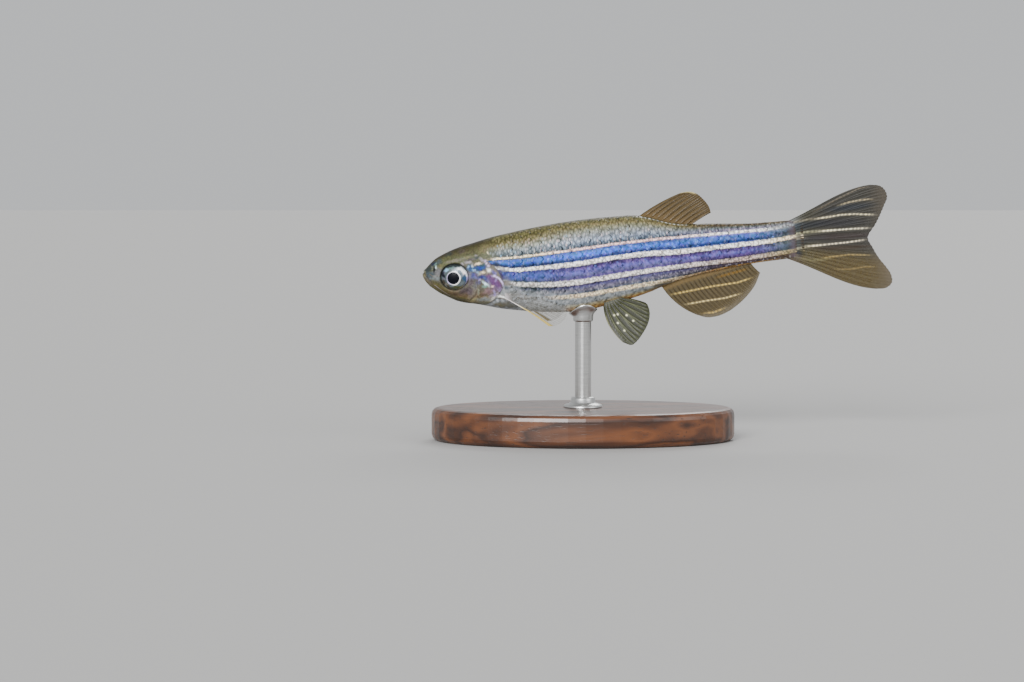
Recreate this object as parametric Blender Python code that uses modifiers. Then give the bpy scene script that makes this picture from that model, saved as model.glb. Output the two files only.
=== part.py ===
"""Zebra danio, a still model at life size, held over a plain base by one rod.

Sizes are millimetres in the fish's own frame: x runs back from the tip of the snout, z runs up, and
the fish's left side is at -y. The empty fish_pose then tips the fish head down and lifts it over the
base, whose underside is centred on the world origin. The body is one loft through named landmarks,
parted by thin cuts. Each fin is a sheet laid out ray by ray, with the rays raised in both its faces.
"""

import math

import bmesh
import bpy
import numpy as np
from mathutils import Matrix, Vector

MM = 0.001
GAP = 0.3
SHARP_DEG = 42.0
LEFT = -1
RIGHT = 1

# The whole animal
STANDARD_LENGTH = 34.0
HEAD_DOWN_DEG = 5.06
SNOUT_HEIGHT = 15.5
ROD_PLACE = 14.4

# Landmarks of the body: place along it, height of the back, height of the belly, half the width
BODY_LANDMARKS = (
    (0.0, 0.45, -1.50, 0.85),  # snout, before its end is rounded
    (1.0, 1.00, -1.88, 1.15),  # nostrils
    (2.9, 1.80, -2.90, 1.72),  # middle of the eyes
    (5.0, 2.30, -3.46, 2.00),  # cheeks
    (7.4, 2.80, -4.12, 2.20),  # gill openings
    (10.5, 3.22, -4.66, 2.34),  # shoulders
    (14.4, 3.53, -4.90, 2.36),  # deepest part of the belly
    (17.6, 3.58, -4.42, 2.14),  # pelvic fins
    (20.0, 3.50, -3.92, 1.88),  # front of the dorsal fin
    (23.7, 2.44, -2.78, 1.50),  # front of the anal fin, past the vent
    (27.0, 2.14, -2.30, 1.18),  # middle of the anal fin
    (30.6, 1.86, -1.93, 0.84),  # start of the tail stem
    (34.0, 1.80, -1.78, 0.42),  # root of the tail fin
)
SNOUT_LEVEL = -0.20
SNOUT_ROUNDING = 1.6
WIDEST_LEVEL = ((0.0, -0.35), (3.0, -0.55), (7.4, -0.95), (14.4, -0.85), (23.7, -0.20), (34.0, 0.0))
UPPER_FULLNESS = ((0.0, 2.2), (3.0, 2.7), (7.4, 2.3), (14.4, 2.1), (34.0, 2.2))
LOWER_FULLNESS = ((0.0, 2.2), (3.0, 2.2), (7.4, 2.1), (14.4, 2.0), (34.0, 2.1))
BODY_STATIONS = 60
BODY_SIDES = 36
STATION_CROWDING = 1.6

# Head
EYE_PLACE = (2.91, -0.65)
EYE_RADIUS = 1.27
EYE_HALF_DEPTH = 0.60
EYE_SIDE = 1.32
NOSTRILS = ((0.92, 0.36, 0.15), (1.26, 0.52, 0.20))  # place, height, radius
MOUTH_FRONT = (-0.35, 0.42)
MOUTH_CORNER = (0.70, -1.02)
MOUTH_OPENING = 0.16
LIP_SWELL = 0.09
LIP_BREADTH = 0.20
GILL_COVER_CENTRE = (6.10, -1.45)
GILL_COVER_REACH = (1.22, 1.92)
GILL_COVER_POINTEDNESS = 1.8
GILL_COVER_SWELL = 0.10
GILL_POCKET_SIDE = 0.90
NAPE_LINE = (7.6, 2.9)
THROAT_LINE = 6.2
BARBELS = (
    # root and tip as place and height, each on the skin
    ((0.62, -0.22), (1.20, -0.72)),
    ((0.92, -1.14), (2.35, -2.36)),
)
BARBEL_RADIUS = 0.25
BARBEL_TIP_RADIUS = 0.08
BARBEL_TIP_LIFT = 0.14

# The slanting cut between trunk and tail, from the end of the dorsal fin down to the vent
TAIL_LINE = ((25.75, 3.0), (21.25, -4.2))
CUTTER_REACH = 8.0

# Fins: thickness on a ray, then shares of it in the web and at the edge
FIN_THICKNESS = 0.78
WEB_SHARE = 0.62
EDGE_SHARE = 0.34
EDGE_START = 0.72
SCALLOP = 0.02

# Each margin has rows of share from the first ray to the last, place along the fish, and height
DORSAL_ROOT = (20.1, 24.9)
DORSAL_MARGIN = (
    (0.0, 24.35, 5.18),
    (0.2, 25.15, 5.20),
    (0.4, 25.80, 4.92),
    (0.6, 26.35, 4.35),
    (0.8, 26.75, 3.72),
    (1.0, 26.90, 3.10),
)
ANAL_ROOT = (21.75, 30.1)
ANAL_MARGIN = (
    (0.0, 24.85, -6.18),
    (0.1, 25.70, -6.48),
    (0.2, 26.50, -6.48),
    (0.35, 27.55, -6.20),
    (0.5, 28.55, -5.65),
    (0.65, 29.50, -4.90),
    (0.82, 30.35, -3.95),
    (1.0, 30.95, -2.80),
)
TAIL_ROOT_HALF_HEIGHT = 1.72
TAIL_FIN_MIDDLE = -0.10
LOBE_BOW = 0.38
UPPER_LOBE_MARGIN = (
    (0.0, 41.75, 4.38),
    (0.12, 42.55, 4.22),
    (0.25, 43.05, 3.76),
    (0.38, 43.20, 3.08),
    (0.52, 42.85, 2.34),
    (0.68, 42.42, 1.50),
    (0.84, 41.92, 0.68),
    (1.0, 41.20, -0.24),
)
LOWER_LOBE_MARGIN = (
    (0.0, 41.55, -5.24),
    (0.12, 42.40, -5.24),
    (0.25, 43.05, -4.78),
    (0.38, 43.00, -4.02),
    (0.52, 42.60, -3.28),
    (0.68, 42.00, -2.40),
    (0.84, 41.52, -1.42),
    (1.0, 41.15, -0.60),
)
PECTORAL_ROOT = ((7.45, -3.22), (7.30, -2.50))
PECTORAL_OUT_DEG = 17.0
PECTORAL_FLARE_DEG = 12.0
PECTORAL_MARGIN = (
    (0.0, 11.10, -5.78),
    (0.15, 11.75, -5.74),
    (0.35, 12.45, -5.35),
    (0.55, 12.80, -4.80),
    (0.75, 12.50, -4.15),
    (1.0, 10.90, -3.30),
)
PELVIC_ROOT = (16.35, 17.7)
PELVIC_SIDE = 0.90
PELVIC_FLARE_DEG = 20.0
PELVIC_MARGIN = (
    (0.0, 17.75, -7.98),
    (0.15, 18.50, -8.26),
    (0.3, 19.12, -7.86),
    (0.45, 19.66, -7.25),
    (0.6, 20.10, -6.62),
    (0.75, 20.38, -5.93),
    (0.88, 20.44, -5.30),
    (1.0, 20.30, -4.70),
)

# Stand
BASE_LENGTH = 28.0
BASE_WIDTH = 17.0
BASE_HEIGHT = 3.0
BASE_BEVEL = 0.6
ROD_RADIUS = 0.75


def clear_scene():
    """Empties the scene and makes one collection for the fish and one for its cutters."""
    for old in list(bpy.data.objects):
        bpy.data.objects.remove(old)
    model = bpy.data.collections.new("zebra_danio")
    cutters = bpy.data.collections.new("cutters")
    for group in (model, cutters):
        bpy.context.scene.collection.children.link(group)
    return model, cutters


def material(name, colour, roughness, metallic=0.0):
    """A plain finish in the part's own colour."""
    made = bpy.data.materials.new(name)
    made.use_nodes = True
    shader = made.node_tree.nodes["Principled BSDF"]
    shader.inputs["Base Color"].default_value = (*colour, 1.0)
    shader.inputs["Roughness"].default_value = roughness
    shader.inputs["Metallic"].default_value = metallic
    return made


def new_object(name, mesh, collection, parent=None, finish=None):
    made = bpy.data.objects.new(name, mesh)
    collection.objects.link(made)
    made.parent = parent
    if finish:
        mesh.materials.append(finish)
    return made


def hide(helper):
    """Keeps a cutter out of the model."""
    helper.hide_render = True
    helper.display_type = "WIRE"
    return helper


def smooth(x, table, column=1):
    """A smooth curve through the table's rows: cubics that share their slope at each row."""
    knots = np.array([row[0] for row in table], float)
    values = np.array([row[column] for row in table], float)
    slopes = np.gradient(values, knots)
    x = np.clip(np.asarray(x, float), knots[0], knots[-1])
    i = np.clip(np.searchsorted(knots, x, side="right") - 1, 0, len(knots) - 2)
    span = knots[i + 1] - knots[i]
    t = (x - knots[i]) / span
    near = (1 + 2 * t) * (1 - t) ** 2 * values[i] + t * (1 - t) ** 2 * span * slopes[i]
    far = t * t * (3 - 2 * t) * values[i + 1] - t * t * (1 - t) * span * slopes[i + 1]
    return near + far


def snout_round(x):
    """Share of the full section, which closes to nothing at the tip as a quarter circle does."""
    left = 1 - np.clip(np.asarray(x, float) / SNOUT_ROUNDING, 0, 1)
    return np.sqrt(np.clip(1 - left * left, 0, 1))


def back_height(x):
    return SNOUT_LEVEL + (smooth(x, BODY_LANDMARKS, 1) - SNOUT_LEVEL) * snout_round(x)


def belly_height(x):
    return SNOUT_LEVEL + (smooth(x, BODY_LANDMARKS, 2) - SNOUT_LEVEL) * snout_round(x)


def widest_height(x):
    return SNOUT_LEVEL + (smooth(x, WIDEST_LEVEL) - SNOUT_LEVEL) * snout_round(x)


def half_width(x):
    return smooth(x, BODY_LANDMARKS, 3) * snout_round(x)


def side_at(x, z):
    """Half the body's width at the height z."""
    level = widest_height(x)
    above = z >= level
    reach = np.where(above, back_height(x) - level, level - belly_height(x))
    power = np.where(above, smooth(x, UPPER_FULLNESS), smooth(x, LOWER_FULLNESS))
    share = np.clip(np.abs(z - level) / np.maximum(reach, 1e-6), 0, 1)
    return half_width(x) * (1 - share**power) ** (1 / power)


def underside_at(x, y):
    """Height of the body's underside at the distance y from the middle plane."""
    level = widest_height(x)
    power = smooth(x, LOWER_FULLNESS)
    share = np.clip(np.abs(y) / np.maximum(half_width(x), 1e-6), 0, 1)
    return level - (level - belly_height(x)) * (1 - share**power) ** (1 / power)


def lip(x, z):
    """How far the lips swell outwards beside the line of the mouth, fading past its corner."""
    front = np.array(MOUTH_FRONT)
    run = np.array(MOUTH_CORNER) - front
    length = np.hypot(*run)
    along = ((x - front[0]) * run[0] + (z - front[1]) * run[1]) / length
    off = ((x - front[0]) * run[1] - (z - front[1]) * run[0]) / length
    fade = 1 / (1 + np.exp((along - length) / 0.12))
    return LIP_SWELL * np.exp(-((off / LIP_BREADTH) ** 2)) * fade


def body_points(x, turn, swell=0.0):
    """Points of the skin at place x and angle turn round it, with turn 0 at the fish's right side.

    Each section is two half superellipses, upper and lower, that meet at the widest level."""
    level = widest_height(x)
    up = np.sin(turn)
    out = np.cos(turn)
    power = np.where(up >= 0, smooth(x, UPPER_FULLNESS), smooth(x, LOWER_FULLNESS))
    reach = np.where(up >= 0, back_height(x) - level, level - belly_height(x))
    across = np.sign(out) * np.abs(out) ** (2 / power)
    tall = np.sign(up) * np.abs(up) ** (2 / power)
    y = across * (half_width(x) + swell)
    z = level + tall * (reach + swell)
    raised = lip(x, z)
    norm = np.hypot(np.hypot(y, z - level), 0.5) + 1e-9
    return np.stack([x - 0.5 * raised / norm, y * (1 + raised / norm), z + (z - level) * raised / norm], -1)


def loft_mesh(name, swell=0.0):
    """The whole body as rings of points, closed by one point at the snout and a cap at the tail."""
    place = STANDARD_LENGTH * (np.arange(1, BODY_STATIONS + 1) / BODY_STATIONS) ** STATION_CROWDING
    turn = np.arange(BODY_SIDES) * 2 * math.pi / BODY_SIDES
    rings = body_points(place[:, None], turn[None, :] + 0 * place[:, None], swell).reshape(-1, 3)
    tip = body_points(np.array([0.0]), np.array([0.0]))
    points = np.concatenate([tip, rings]) * MM
    faces = [(0, 1 + (j + 1) % BODY_SIDES, 1 + j) for j in range(BODY_SIDES)]
    for i in range(BODY_STATIONS - 1):
        near = 1 + i * BODY_SIDES
        far = near + BODY_SIDES
        for j in range(BODY_SIDES):
            k = (j + 1) % BODY_SIDES
            faces.append((near + j, near + k, far + k, far + j))
    last = 1 + (BODY_STATIONS - 1) * BODY_SIDES
    faces.append(tuple(last + j for j in range(BODY_SIDES)))
    mesh = bpy.data.meshes.new(name)
    mesh.from_pydata(points.tolist(), [], faces)
    solid = bmesh.new()
    solid.from_mesh(mesh)
    bmesh.ops.recalc_face_normals(solid, faces=solid.faces)
    solid.to_mesh(mesh)
    solid.free()
    mesh.shade_smooth()
    return mesh


def prism(name, outline, low_y, high_y, collection, parent):
    """A cutter: a closed outline in x and z, drawn out along y."""
    shape = bmesh.new()
    corners = [shape.verts.new((x * MM, low_y * MM, z * MM)) for x, z in outline]
    face = shape.faces.new(corners)
    drawn = bmesh.ops.extrude_face_region(shape, geom=[face])
    moved = [item for item in drawn["geom"] if isinstance(item, bmesh.types.BMVert)]
    bmesh.ops.translate(shape, verts=moved, vec=Vector((0, (high_y - low_y) * MM, 0)))
    bmesh.ops.recalc_face_normals(shape, faces=shape.faces)
    mesh = bpy.data.meshes.new(name)
    shape.to_mesh(mesh)
    shape.free()
    return hide(new_object(name, mesh, collection, parent))


def ball(name, centre, radii, segments, rings, collection, parent, finish=None):
    """An ellipsoid from a sphere, with its size applied to the mesh."""
    shape = bmesh.new()
    bmesh.ops.create_uvsphere(shape, u_segments=segments, v_segments=rings, radius=1.0)
    bmesh.ops.rotate(shape, verts=shape.verts, matrix=Matrix.Rotation(math.pi / 2, 3, "X"))
    bmesh.ops.scale(shape, verts=shape.verts, vec=Vector(radii) * MM)
    mesh = bpy.data.meshes.new(name)
    shape.to_mesh(mesh)
    shape.free()
    mesh.shade_smooth()
    made = new_object(name, mesh, collection, parent, finish)
    made.location = Vector(centre) * MM
    return made


def cut(target, cutter, operation="DIFFERENCE"):
    step = target.modifiers.new(cutter.name, "BOOLEAN")
    step.operation = operation
    step.object = cutter
    step.solver = "EXACT"


def union_applied(target, group):
    """Joins every object of a collection to the target, then removes them."""
    step = target.modifiers.new("joined", "BOOLEAN")
    step.operation = "UNION"
    step.operand_type = "COLLECTION"
    step.collection = group
    step.solver = "EXACT"
    settle(target)
    for piece in list(group.objects):
        bpy.data.objects.remove(piece)
    bpy.data.collections.remove(group)


def settle(target):
    """Applies the target's modifiers and keeps only its largest closed surface."""
    bpy.context.view_layer.update()
    graph = bpy.context.evaluated_depsgraph_get()
    mesh = bpy.data.meshes.new_from_object(target.evaluated_get(graph))
    target.modifiers.clear()
    shape = bmesh.new()
    shape.from_mesh(mesh)
    bmesh.ops.triangulate(shape, faces=shape.faces)
    bmesh.ops.remove_doubles(shape, verts=shape.verts, dist=0.002 * MM)
    islands = []
    left = set(shape.verts)
    while left:
        island = {left.pop()}
        edge = set(island)
        while edge:
            edge = {e.other_vert(v) for v in edge for e in v.link_edges} & left
            island |= edge
            left -= edge
        islands.append(island)
    largest = max(islands, key=len)
    bmesh.ops.delete(shape, geom=[v for v in shape.verts if v not in largest], context="VERTS")
    shape.to_mesh(mesh)
    shape.free()
    mesh.shade_smooth()
    mesh.set_sharp_from_angle(angle=math.radians(SHARP_DEG))
    target.data = mesh


def gill_outline(grown=0.0, steps=40):
    """The gill cover's outline, a superellipse that comes to a blunt point at its rear."""
    angle = np.arange(steps) * 2 * math.pi / steps
    power = 2 / GILL_COVER_POINTEDNESS
    across = np.sign(np.cos(angle)) * np.abs(np.cos(angle)) ** power
    tall = np.sign(np.sin(angle)) * np.abs(np.sin(angle)) ** power
    x = GILL_COVER_CENTRE[0] + across * (GILL_COVER_REACH[0] + grown)
    z = GILL_COVER_CENTRE[1] + tall * (GILL_COVER_REACH[1] + grown)
    return list(zip(x.tolist(), z.tolist(), strict=True))


def head_line(shift):
    """The cut behind the head: down the nape, round the gill cover's rear edge and across the throat."""
    rear = [p for p in gill_outline(GAP / 2) if p[0] > GILL_COVER_CENTRE[0] + 0.5]
    rear.sort(key=lambda p: -p[1])
    line = [(NAPE_LINE[0], CUTTER_REACH), NAPE_LINE, *rear, (THROAT_LINE, -CUTTER_REACH)]
    return [(x + shift, z) for x, z in line]


def tail_line(shift):
    """The slanting cut from the end of the dorsal fin down to the vent."""
    high, low = TAIL_LINE
    line = [(high[0], CUTTER_REACH), high, low, (low[0], -CUTTER_REACH)]
    return [(x + shift, z) for x, z in line]


def block(name, line, end, cutters, parent):
    """A cutter that takes all of the body between a line drawn down its side and the place end."""
    outline = [*line, (end, line[-1][1]), (end, line[0][1])]
    return prism(name, outline, -CUTTER_REACH, CUTTER_REACH, cutters, parent)


def barbel(side, root, tip, collection, parent):
    """One feeler of the mouth: a slim cone along the skin, its axis on the skin at its root."""
    ends = []
    for (x, z), lift in ((root, 0.0), (tip, BARBEL_TIP_LIFT)):
        ends.append(Vector((x, side * (float(side_at(x, z)) + lift), z)) * MM)
    run = ends[1] - ends[0]
    shape = bmesh.new()
    bmesh.ops.create_cone(
        shape,
        cap_ends=True,
        segments=8,
        radius1=BARBEL_RADIUS * MM,
        radius2=BARBEL_TIP_RADIUS * MM,
        depth=run.length,
    )
    bmesh.ops.rotate(shape, verts=shape.verts, matrix=run.to_track_quat("Z", "Y").to_matrix())
    bmesh.ops.translate(shape, verts=shape.verts, vec=(ends[0] + ends[1]) / 2)
    mesh = bpy.data.meshes.new("barbel")
    shape.to_mesh(mesh)
    shape.free()
    return new_object("barbel", mesh, collection, parent)


def build_head(model, cutters, pose):
    """The head: snout, jaws and skull, with its eye sockets, nostrils, mouth, gill pockets and barbels."""
    skin = material("olive_head", (0.36, 0.34, 0.22), 0.40)
    head = new_object("head", loft_mesh("head"), model, pose, skin)
    cut(head, block("behind_head", head_line(-GAP / 2), 40.0, cutters, pose))
    cut(head, mouth_slot(cutters, pose))
    for side, word in ((LEFT, "left"), (RIGHT, "right")):
        socket = ball(
            f"eye_socket_{word}",
            (EYE_PLACE[0], side * (EYE_SIDE + GAP / 2), EYE_PLACE[1]),
            (EYE_RADIUS + GAP, EYE_HALF_DEPTH + GAP * 1.5, EYE_RADIUS + GAP),
            24,
            12,
            cutters,
            pose,
        )
        cut(head, hide(socket))
        low, high = sorted((side * GILL_POCKET_SIDE, side * CUTTER_REACH))
        cut(head, prism(f"gill_pocket_{word}", gill_outline(GAP), low, high, cutters, pose))
        for number, (place, height, radius) in enumerate(NOSTRILS):
            centre = (place, side * float(side_at(place, height)), height)
            name = f"nostril_{number}_{word}"
            cut(head, hide(ball(name, centre, (radius,) * 3, 10, 6, cutters, pose)))
    settle(head)
    feelers = bpy.data.collections.new("barbels")
    bpy.context.scene.collection.children.link(feelers)
    for side in (LEFT, RIGHT):
        for root, tip in BARBELS:
            barbel(side, root, tip, feelers, pose)
    union_applied(head, feelers)


def mouth_slot(cutters, pose):
    """A thin wedge that opens the line of the mouth from its corner out past the snout."""
    front = Vector(MOUTH_FRONT)
    corner = Vector(MOUTH_CORNER)
    run = (corner - front).normalized()
    side = Vector((run.y, -run.x)) * MOUTH_OPENING / 2
    outline = [front + side * 1.4, corner + side * 0.5, corner - side * 0.5, front - side * 1.4]
    return prism("mouth", [tuple(p) for p in outline], -2.0, 2.0, cutters, pose)


def build_trunk(model, cutters, pose):
    """The trunk, from the gill openings back to the vent and the end of the dorsal fin."""
    skin = material("striped_trunk", (0.33, 0.36, 0.55), 0.32, 0.2)
    trunk = new_object("trunk", loft_mesh("trunk"), model, pose, skin)
    cut(trunk, block("before_trunk", head_line(GAP / 2), -3.0, cutters, pose))
    cut(trunk, block("behind_trunk", tail_line(-GAP / 2), 40.0, cutters, pose))
    settle(trunk)


def build_tail(model, cutters, pose):
    """The tail, from the vent back to the root of the tail fin."""
    skin = material("striped_tail", (0.33, 0.33, 0.52), 0.32, 0.2)
    tail = new_object("tail", loft_mesh("tail"), model, pose, skin)
    cut(tail, block("before_tail", tail_line(GAP / 2), -3.0, cutters, pose))
    settle(tail)


def build_eyes(model, pose):
    """Each eye is a flattened ball in its socket, standing a little proud of the cheek."""
    silver = material("silver_eye", (0.62, 0.66, 0.66), 0.15, 0.4)
    for side, word in ((LEFT, "left"), (RIGHT, "right")):
        ball(
            f"eye_{word}",
            (EYE_PLACE[0], side * EYE_SIDE, EYE_PLACE[1]),
            (EYE_RADIUS, EYE_HALF_DEPTH, EYE_RADIUS),
            24,
            12,
            model,
            pose,
            silver,
        )


def build_gill_covers(model, cutters, pose):
    """Each gill cover is the cheek's own curve, a little swollen, cut to the cover's outline."""
    pearl = material("pearly_gill_cover", (0.50, 0.38, 0.50), 0.28, 0.2)
    for side, word in ((LEFT, "left"), (RIGHT, "right")):
        cover = new_object(f"gill_cover_{word}", loft_mesh("cheek", GILL_COVER_SWELL), model, pose, pearl)
        low, high = sorted((side * (GILL_POCKET_SIDE + GAP), side * CUTTER_REACH))
        cut(cover, prism(f"gill_cover_form_{word}", gill_outline(), low, high, cutters, pose), "INTERSECT")
        settle(cover)


def fin_points(root, margin, arch, u, v):
    """Points of a fin: share u of the way out along the ray at share v of the way back.

    Each ray runs from the root line to the margin and is bowed sideways by arch at its middle: the
    first number of arch is the bow of the first ray, the second that of the last, and the third
    moves the bow outwards along the ray."""
    first_bow, last_bow, outward = arch
    start = np.stack(root(v), -1)
    run = np.stack([smooth(v, margin, 1), smooth(v, margin, 2)], -1) - start
    length = np.hypot(run[:, 0], run[:, 1])
    across = np.stack([-run[:, 1], run[:, 0]], -1) / length[:, None]
    peak = outward / (outward + 1)
    bow = (u / peak) ** outward * (1 - u) / (1 - peak)
    bow = bow * (first_bow + (last_bow - first_bow) * v)
    return start + run * u[:, None] + across * bow[:, None]


def fin_object(name, rays, rows, shape, place, model, pose, finish):
    """A fin: a grid with two columns a ray, thick on each ray and thinner in the web between.

    shape gives root, margin and arch for fin_points, and place sets those points in the fish's
    frame. The grid is cut into triangles before it is thickened, so that both faces match."""
    columns = 2 * rays - 1
    grid = bmesh.new()
    bmesh.ops.create_grid(grid, x_segments=columns - 1, y_segments=rows, size=0.5)
    flat = np.array([v.co[:2] for v in grid.verts]) + 0.5
    v, u = flat[:, 0], flat[:, 1]
    on_ray = 0.5 + 0.5 * np.cos(2 * math.pi * v * (rays - 1))
    points = fin_points(*shape, u * (1 - SCALLOP * (1 - on_ray) * u), v)
    for vert, point in zip(grid.verts, place(points[:, 0], points[:, 1]), strict=True):
        vert.co = point * MM
    bmesh.ops.triangulate(grid, faces=grid.faces)
    mesh = bpy.data.meshes.new(name)
    grid.to_mesh(mesh)
    grid.free()
    mesh.shade_smooth()
    fin = new_object(name, mesh, model, pose, finish)
    ridge = np.clip(u * 4, 0, 1)
    thick = 1 - ridge * (1 - WEB_SHARE) * (1 - on_ray)
    towards_edge = np.clip((u - EDGE_START) / (1 - EDGE_START), 0, 1)
    thick = thick * (1 - towards_edge) + EDGE_SHARE * (0.7 + 0.3 * on_ray) * towards_edge
    group = fin.vertex_groups.new(name="thickness")
    for index, share in enumerate(thick):
        group.add([index], float(share), "REPLACE")
    wall = fin.modifiers.new("wall", "SOLIDIFY")
    wall.thickness = FIN_THICKNESS * MM
    wall.offset = 0.0
    wall.vertex_group = "thickness"
    wall.thickness_vertex_group = 0.0
    return fin


def on_midline(x, z):
    """A fin on the fish's middle plane."""
    return np.stack([x, 0 * x, z], -1)


def beside(side, start, back_out_deg, down_out_deg):
    """A side fin: it leans out from the body as it runs back and as it hangs down."""
    back = math.tan(math.radians(back_out_deg))
    down = math.tan(math.radians(down_out_deg))

    def place(x, z):
        y = start[1] + (x - start[0]) * back + (start[2] - z) * down
        return np.stack([x, side * y, z], -1)

    return place


def build_dorsal_fin(model, pose, finish):
    """Dorsal fin: 8 rays, half folded back, rooted along the slope of the back."""

    def root(v):
        x = DORSAL_ROOT[0] + (DORSAL_ROOT[1] - DORSAL_ROOT[0]) * v
        return x, back_height(x) + GAP

    shape = (root, DORSAL_MARGIN, (0.16, 0.05, 1.0))
    fin_object("dorsal_fin", 8, 8, shape, on_midline, model, pose, finish)


def build_anal_fin(model, pose, finish):
    """Anal fin: 13 rays, long at its front, rooted along the underside of the tail."""

    def root(v):
        x = ANAL_ROOT[0] + (ANAL_ROOT[1] - ANAL_ROOT[0]) * v
        return x, belly_height(x) - GAP

    shape = (root, ANAL_MARGIN, (-0.36, -0.05, 1.0))
    fin_object("anal_fin", 13, 8, shape, on_midline, model, pose, finish)


def build_tail_fin(model, pose, finish):
    """Tail fin: an upper and a lower lobe of 9 rays each, parted by the usual gap."""
    lobes = (
        ("tail_fin_upper", 1, UPPER_LOBE_MARGIN),
        ("tail_fin_lower", -1, LOWER_LOBE_MARGIN),
    )
    for name, way, margin in lobes:
        outer = way * TAIL_ROOT_HALF_HEIGHT
        inner = TAIL_FIN_MIDDLE + way * GAP / 2

        def root(v, outer=outer, inner=inner):
            return STANDARD_LENGTH + GAP + 0 * v, outer + (inner - outer) * v

        shape = (root, margin, (way * LOBE_BOW, 0.0, 2.0))
        fin_object(name, 9, 10, shape, on_midline, model, pose, finish)


def build_pectoral_fins(model, pose, finish):
    """Pectoral fins: 8 rays each, swept back and down from behind the gill covers."""
    low, high = PECTORAL_ROOT

    def root(v):
        return low[0] + (high[0] - low[0]) * v, low[1] + (high[1] - low[1]) * v

    shape = (root, PECTORAL_MARGIN, (-0.22, 0.18, 1.0))
    y = float(side_at(high[0], high[1])) + GAP + FIN_THICKNESS / 2
    for side, word in ((LEFT, "left"), (RIGHT, "right")):
        place = beside(side, (high[0], y, high[1]), PECTORAL_OUT_DEG, PECTORAL_FLARE_DEG)
        fin_object(f"pectoral_fin_{word}", 8, 8, shape, place, model, pose, finish)


def build_pelvic_fins(model, pose, finish):
    """Pelvic fins: 8 rays each, fanned wide under the belly, each rooted beside the middle line."""

    def root(v):
        x = PELVIC_ROOT[0] + (PELVIC_ROOT[1] - PELVIC_ROOT[0]) * v
        return x, underside_at(x, PELVIC_SIDE - FIN_THICKNESS / 2) - GAP

    shape = (root, PELVIC_MARGIN, (-0.48, 0.10, 1.0))
    start = (PELVIC_ROOT[0], PELVIC_SIDE, float(root(0.0)[1]))
    for side, word in ((LEFT, "left"), (RIGHT, "right")):
        place = beside(side, start, 0.0, PELVIC_FLARE_DEG)
        fin_object(f"pelvic_fin_{word}", 8, 8, shape, place, model, pose, finish)


def build_stand(model, rod_x, rod_top):
    """An oval base with a bevelled rim, and one upright rod that ends just under the belly."""
    walnut = material("dark_walnut", (0.09, 0.05, 0.03), 0.45)
    steel = material("brushed_steel", (0.62, 0.62, 0.60), 0.30, 1.0)
    shape = bmesh.new()
    bmesh.ops.create_cone(shape, cap_ends=True, segments=56, radius1=0.5, radius2=0.5, depth=1.0)
    bmesh.ops.scale(shape, verts=shape.verts, vec=Vector((BASE_LENGTH, BASE_WIDTH, BASE_HEIGHT)) * MM)
    bmesh.ops.translate(shape, verts=shape.verts, vec=Vector((0, 0, BASE_HEIGHT / 2 * MM)))
    mesh = bpy.data.meshes.new("stand_base")
    shape.to_mesh(mesh)
    shape.free()
    base = new_object("stand_base", mesh, model, None, walnut)
    rim = base.modifiers.new("rim", "BEVEL")
    rim.width = BASE_BEVEL * MM
    rim.segments = 3
    rim.limit_method = "ANGLE"
    rim.angle_limit = math.radians(60)
    foot = BASE_HEIGHT + GAP
    shape = bmesh.new()
    bmesh.ops.create_cone(
        shape,
        cap_ends=True,
        segments=20,
        radius1=ROD_RADIUS * MM,
        radius2=ROD_RADIUS * MM,
        depth=(rod_top - foot) * MM,
    )
    mesh = bpy.data.meshes.new("stand_rod")
    shape.to_mesh(mesh)
    shape.free()
    rod = new_object("stand_rod", mesh, model, None, steel)
    rod.location = Vector((rod_x, 0, (rod_top + foot) / 2)) * MM


def pose_matrix():
    """Tips the fish head down and sets the rod's place on its belly over the world origin."""
    tip = Matrix.Rotation(-math.radians(HEAD_DOWN_DEG), 4, "Y")
    belly = tip @ Vector((ROD_PLACE, 0, float(belly_height(ROD_PLACE))))
    return Matrix.Translation(Vector((-belly.x, 0, SNOUT_HEIGHT)) * MM) @ tip, belly.z + SNOUT_HEIGHT


def main():
    model, cutters = clear_scene()
    pose = bpy.data.objects.new("fish_pose", None)
    model.objects.link(pose)
    pose.matrix_world, belly_z = pose_matrix()
    build_head(model, cutters, pose)
    build_trunk(model, cutters, pose)
    build_tail(model, cutters, pose)
    build_eyes(model, pose)
    build_gill_covers(model, cutters, pose)
    web = material("clear_fin", (0.45, 0.40, 0.28), 0.35)
    build_dorsal_fin(model, pose, web)
    build_anal_fin(model, pose, web)
    build_tail_fin(model, pose, web)
    build_pectoral_fins(model, pose, web)
    build_pelvic_fins(model, pose, web)
    build_stand(model, 0.0, belly_z - GAP)


main()
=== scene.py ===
import math

import bpy
import numpy as np
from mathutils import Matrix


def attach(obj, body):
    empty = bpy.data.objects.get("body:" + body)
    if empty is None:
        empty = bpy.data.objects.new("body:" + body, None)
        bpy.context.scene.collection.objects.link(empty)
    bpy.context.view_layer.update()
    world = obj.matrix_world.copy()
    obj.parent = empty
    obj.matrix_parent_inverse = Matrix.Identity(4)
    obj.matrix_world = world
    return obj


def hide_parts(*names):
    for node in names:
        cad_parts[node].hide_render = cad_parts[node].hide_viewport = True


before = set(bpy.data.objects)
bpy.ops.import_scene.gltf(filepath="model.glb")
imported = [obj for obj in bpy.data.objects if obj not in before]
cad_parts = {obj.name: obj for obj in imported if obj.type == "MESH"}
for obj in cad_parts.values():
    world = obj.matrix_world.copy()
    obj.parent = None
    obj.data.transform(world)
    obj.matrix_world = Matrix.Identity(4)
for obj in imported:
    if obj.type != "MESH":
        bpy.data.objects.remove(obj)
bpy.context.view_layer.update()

# The studio. The model stands on a pale table in a pale room, under broad soft lamps in front, at one
# side and behind. The camera looks at the fish's left side, level with its body and a little from above.
VIEW_MIDDLE = (-0.00656, 0.0, 0.00913)
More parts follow.
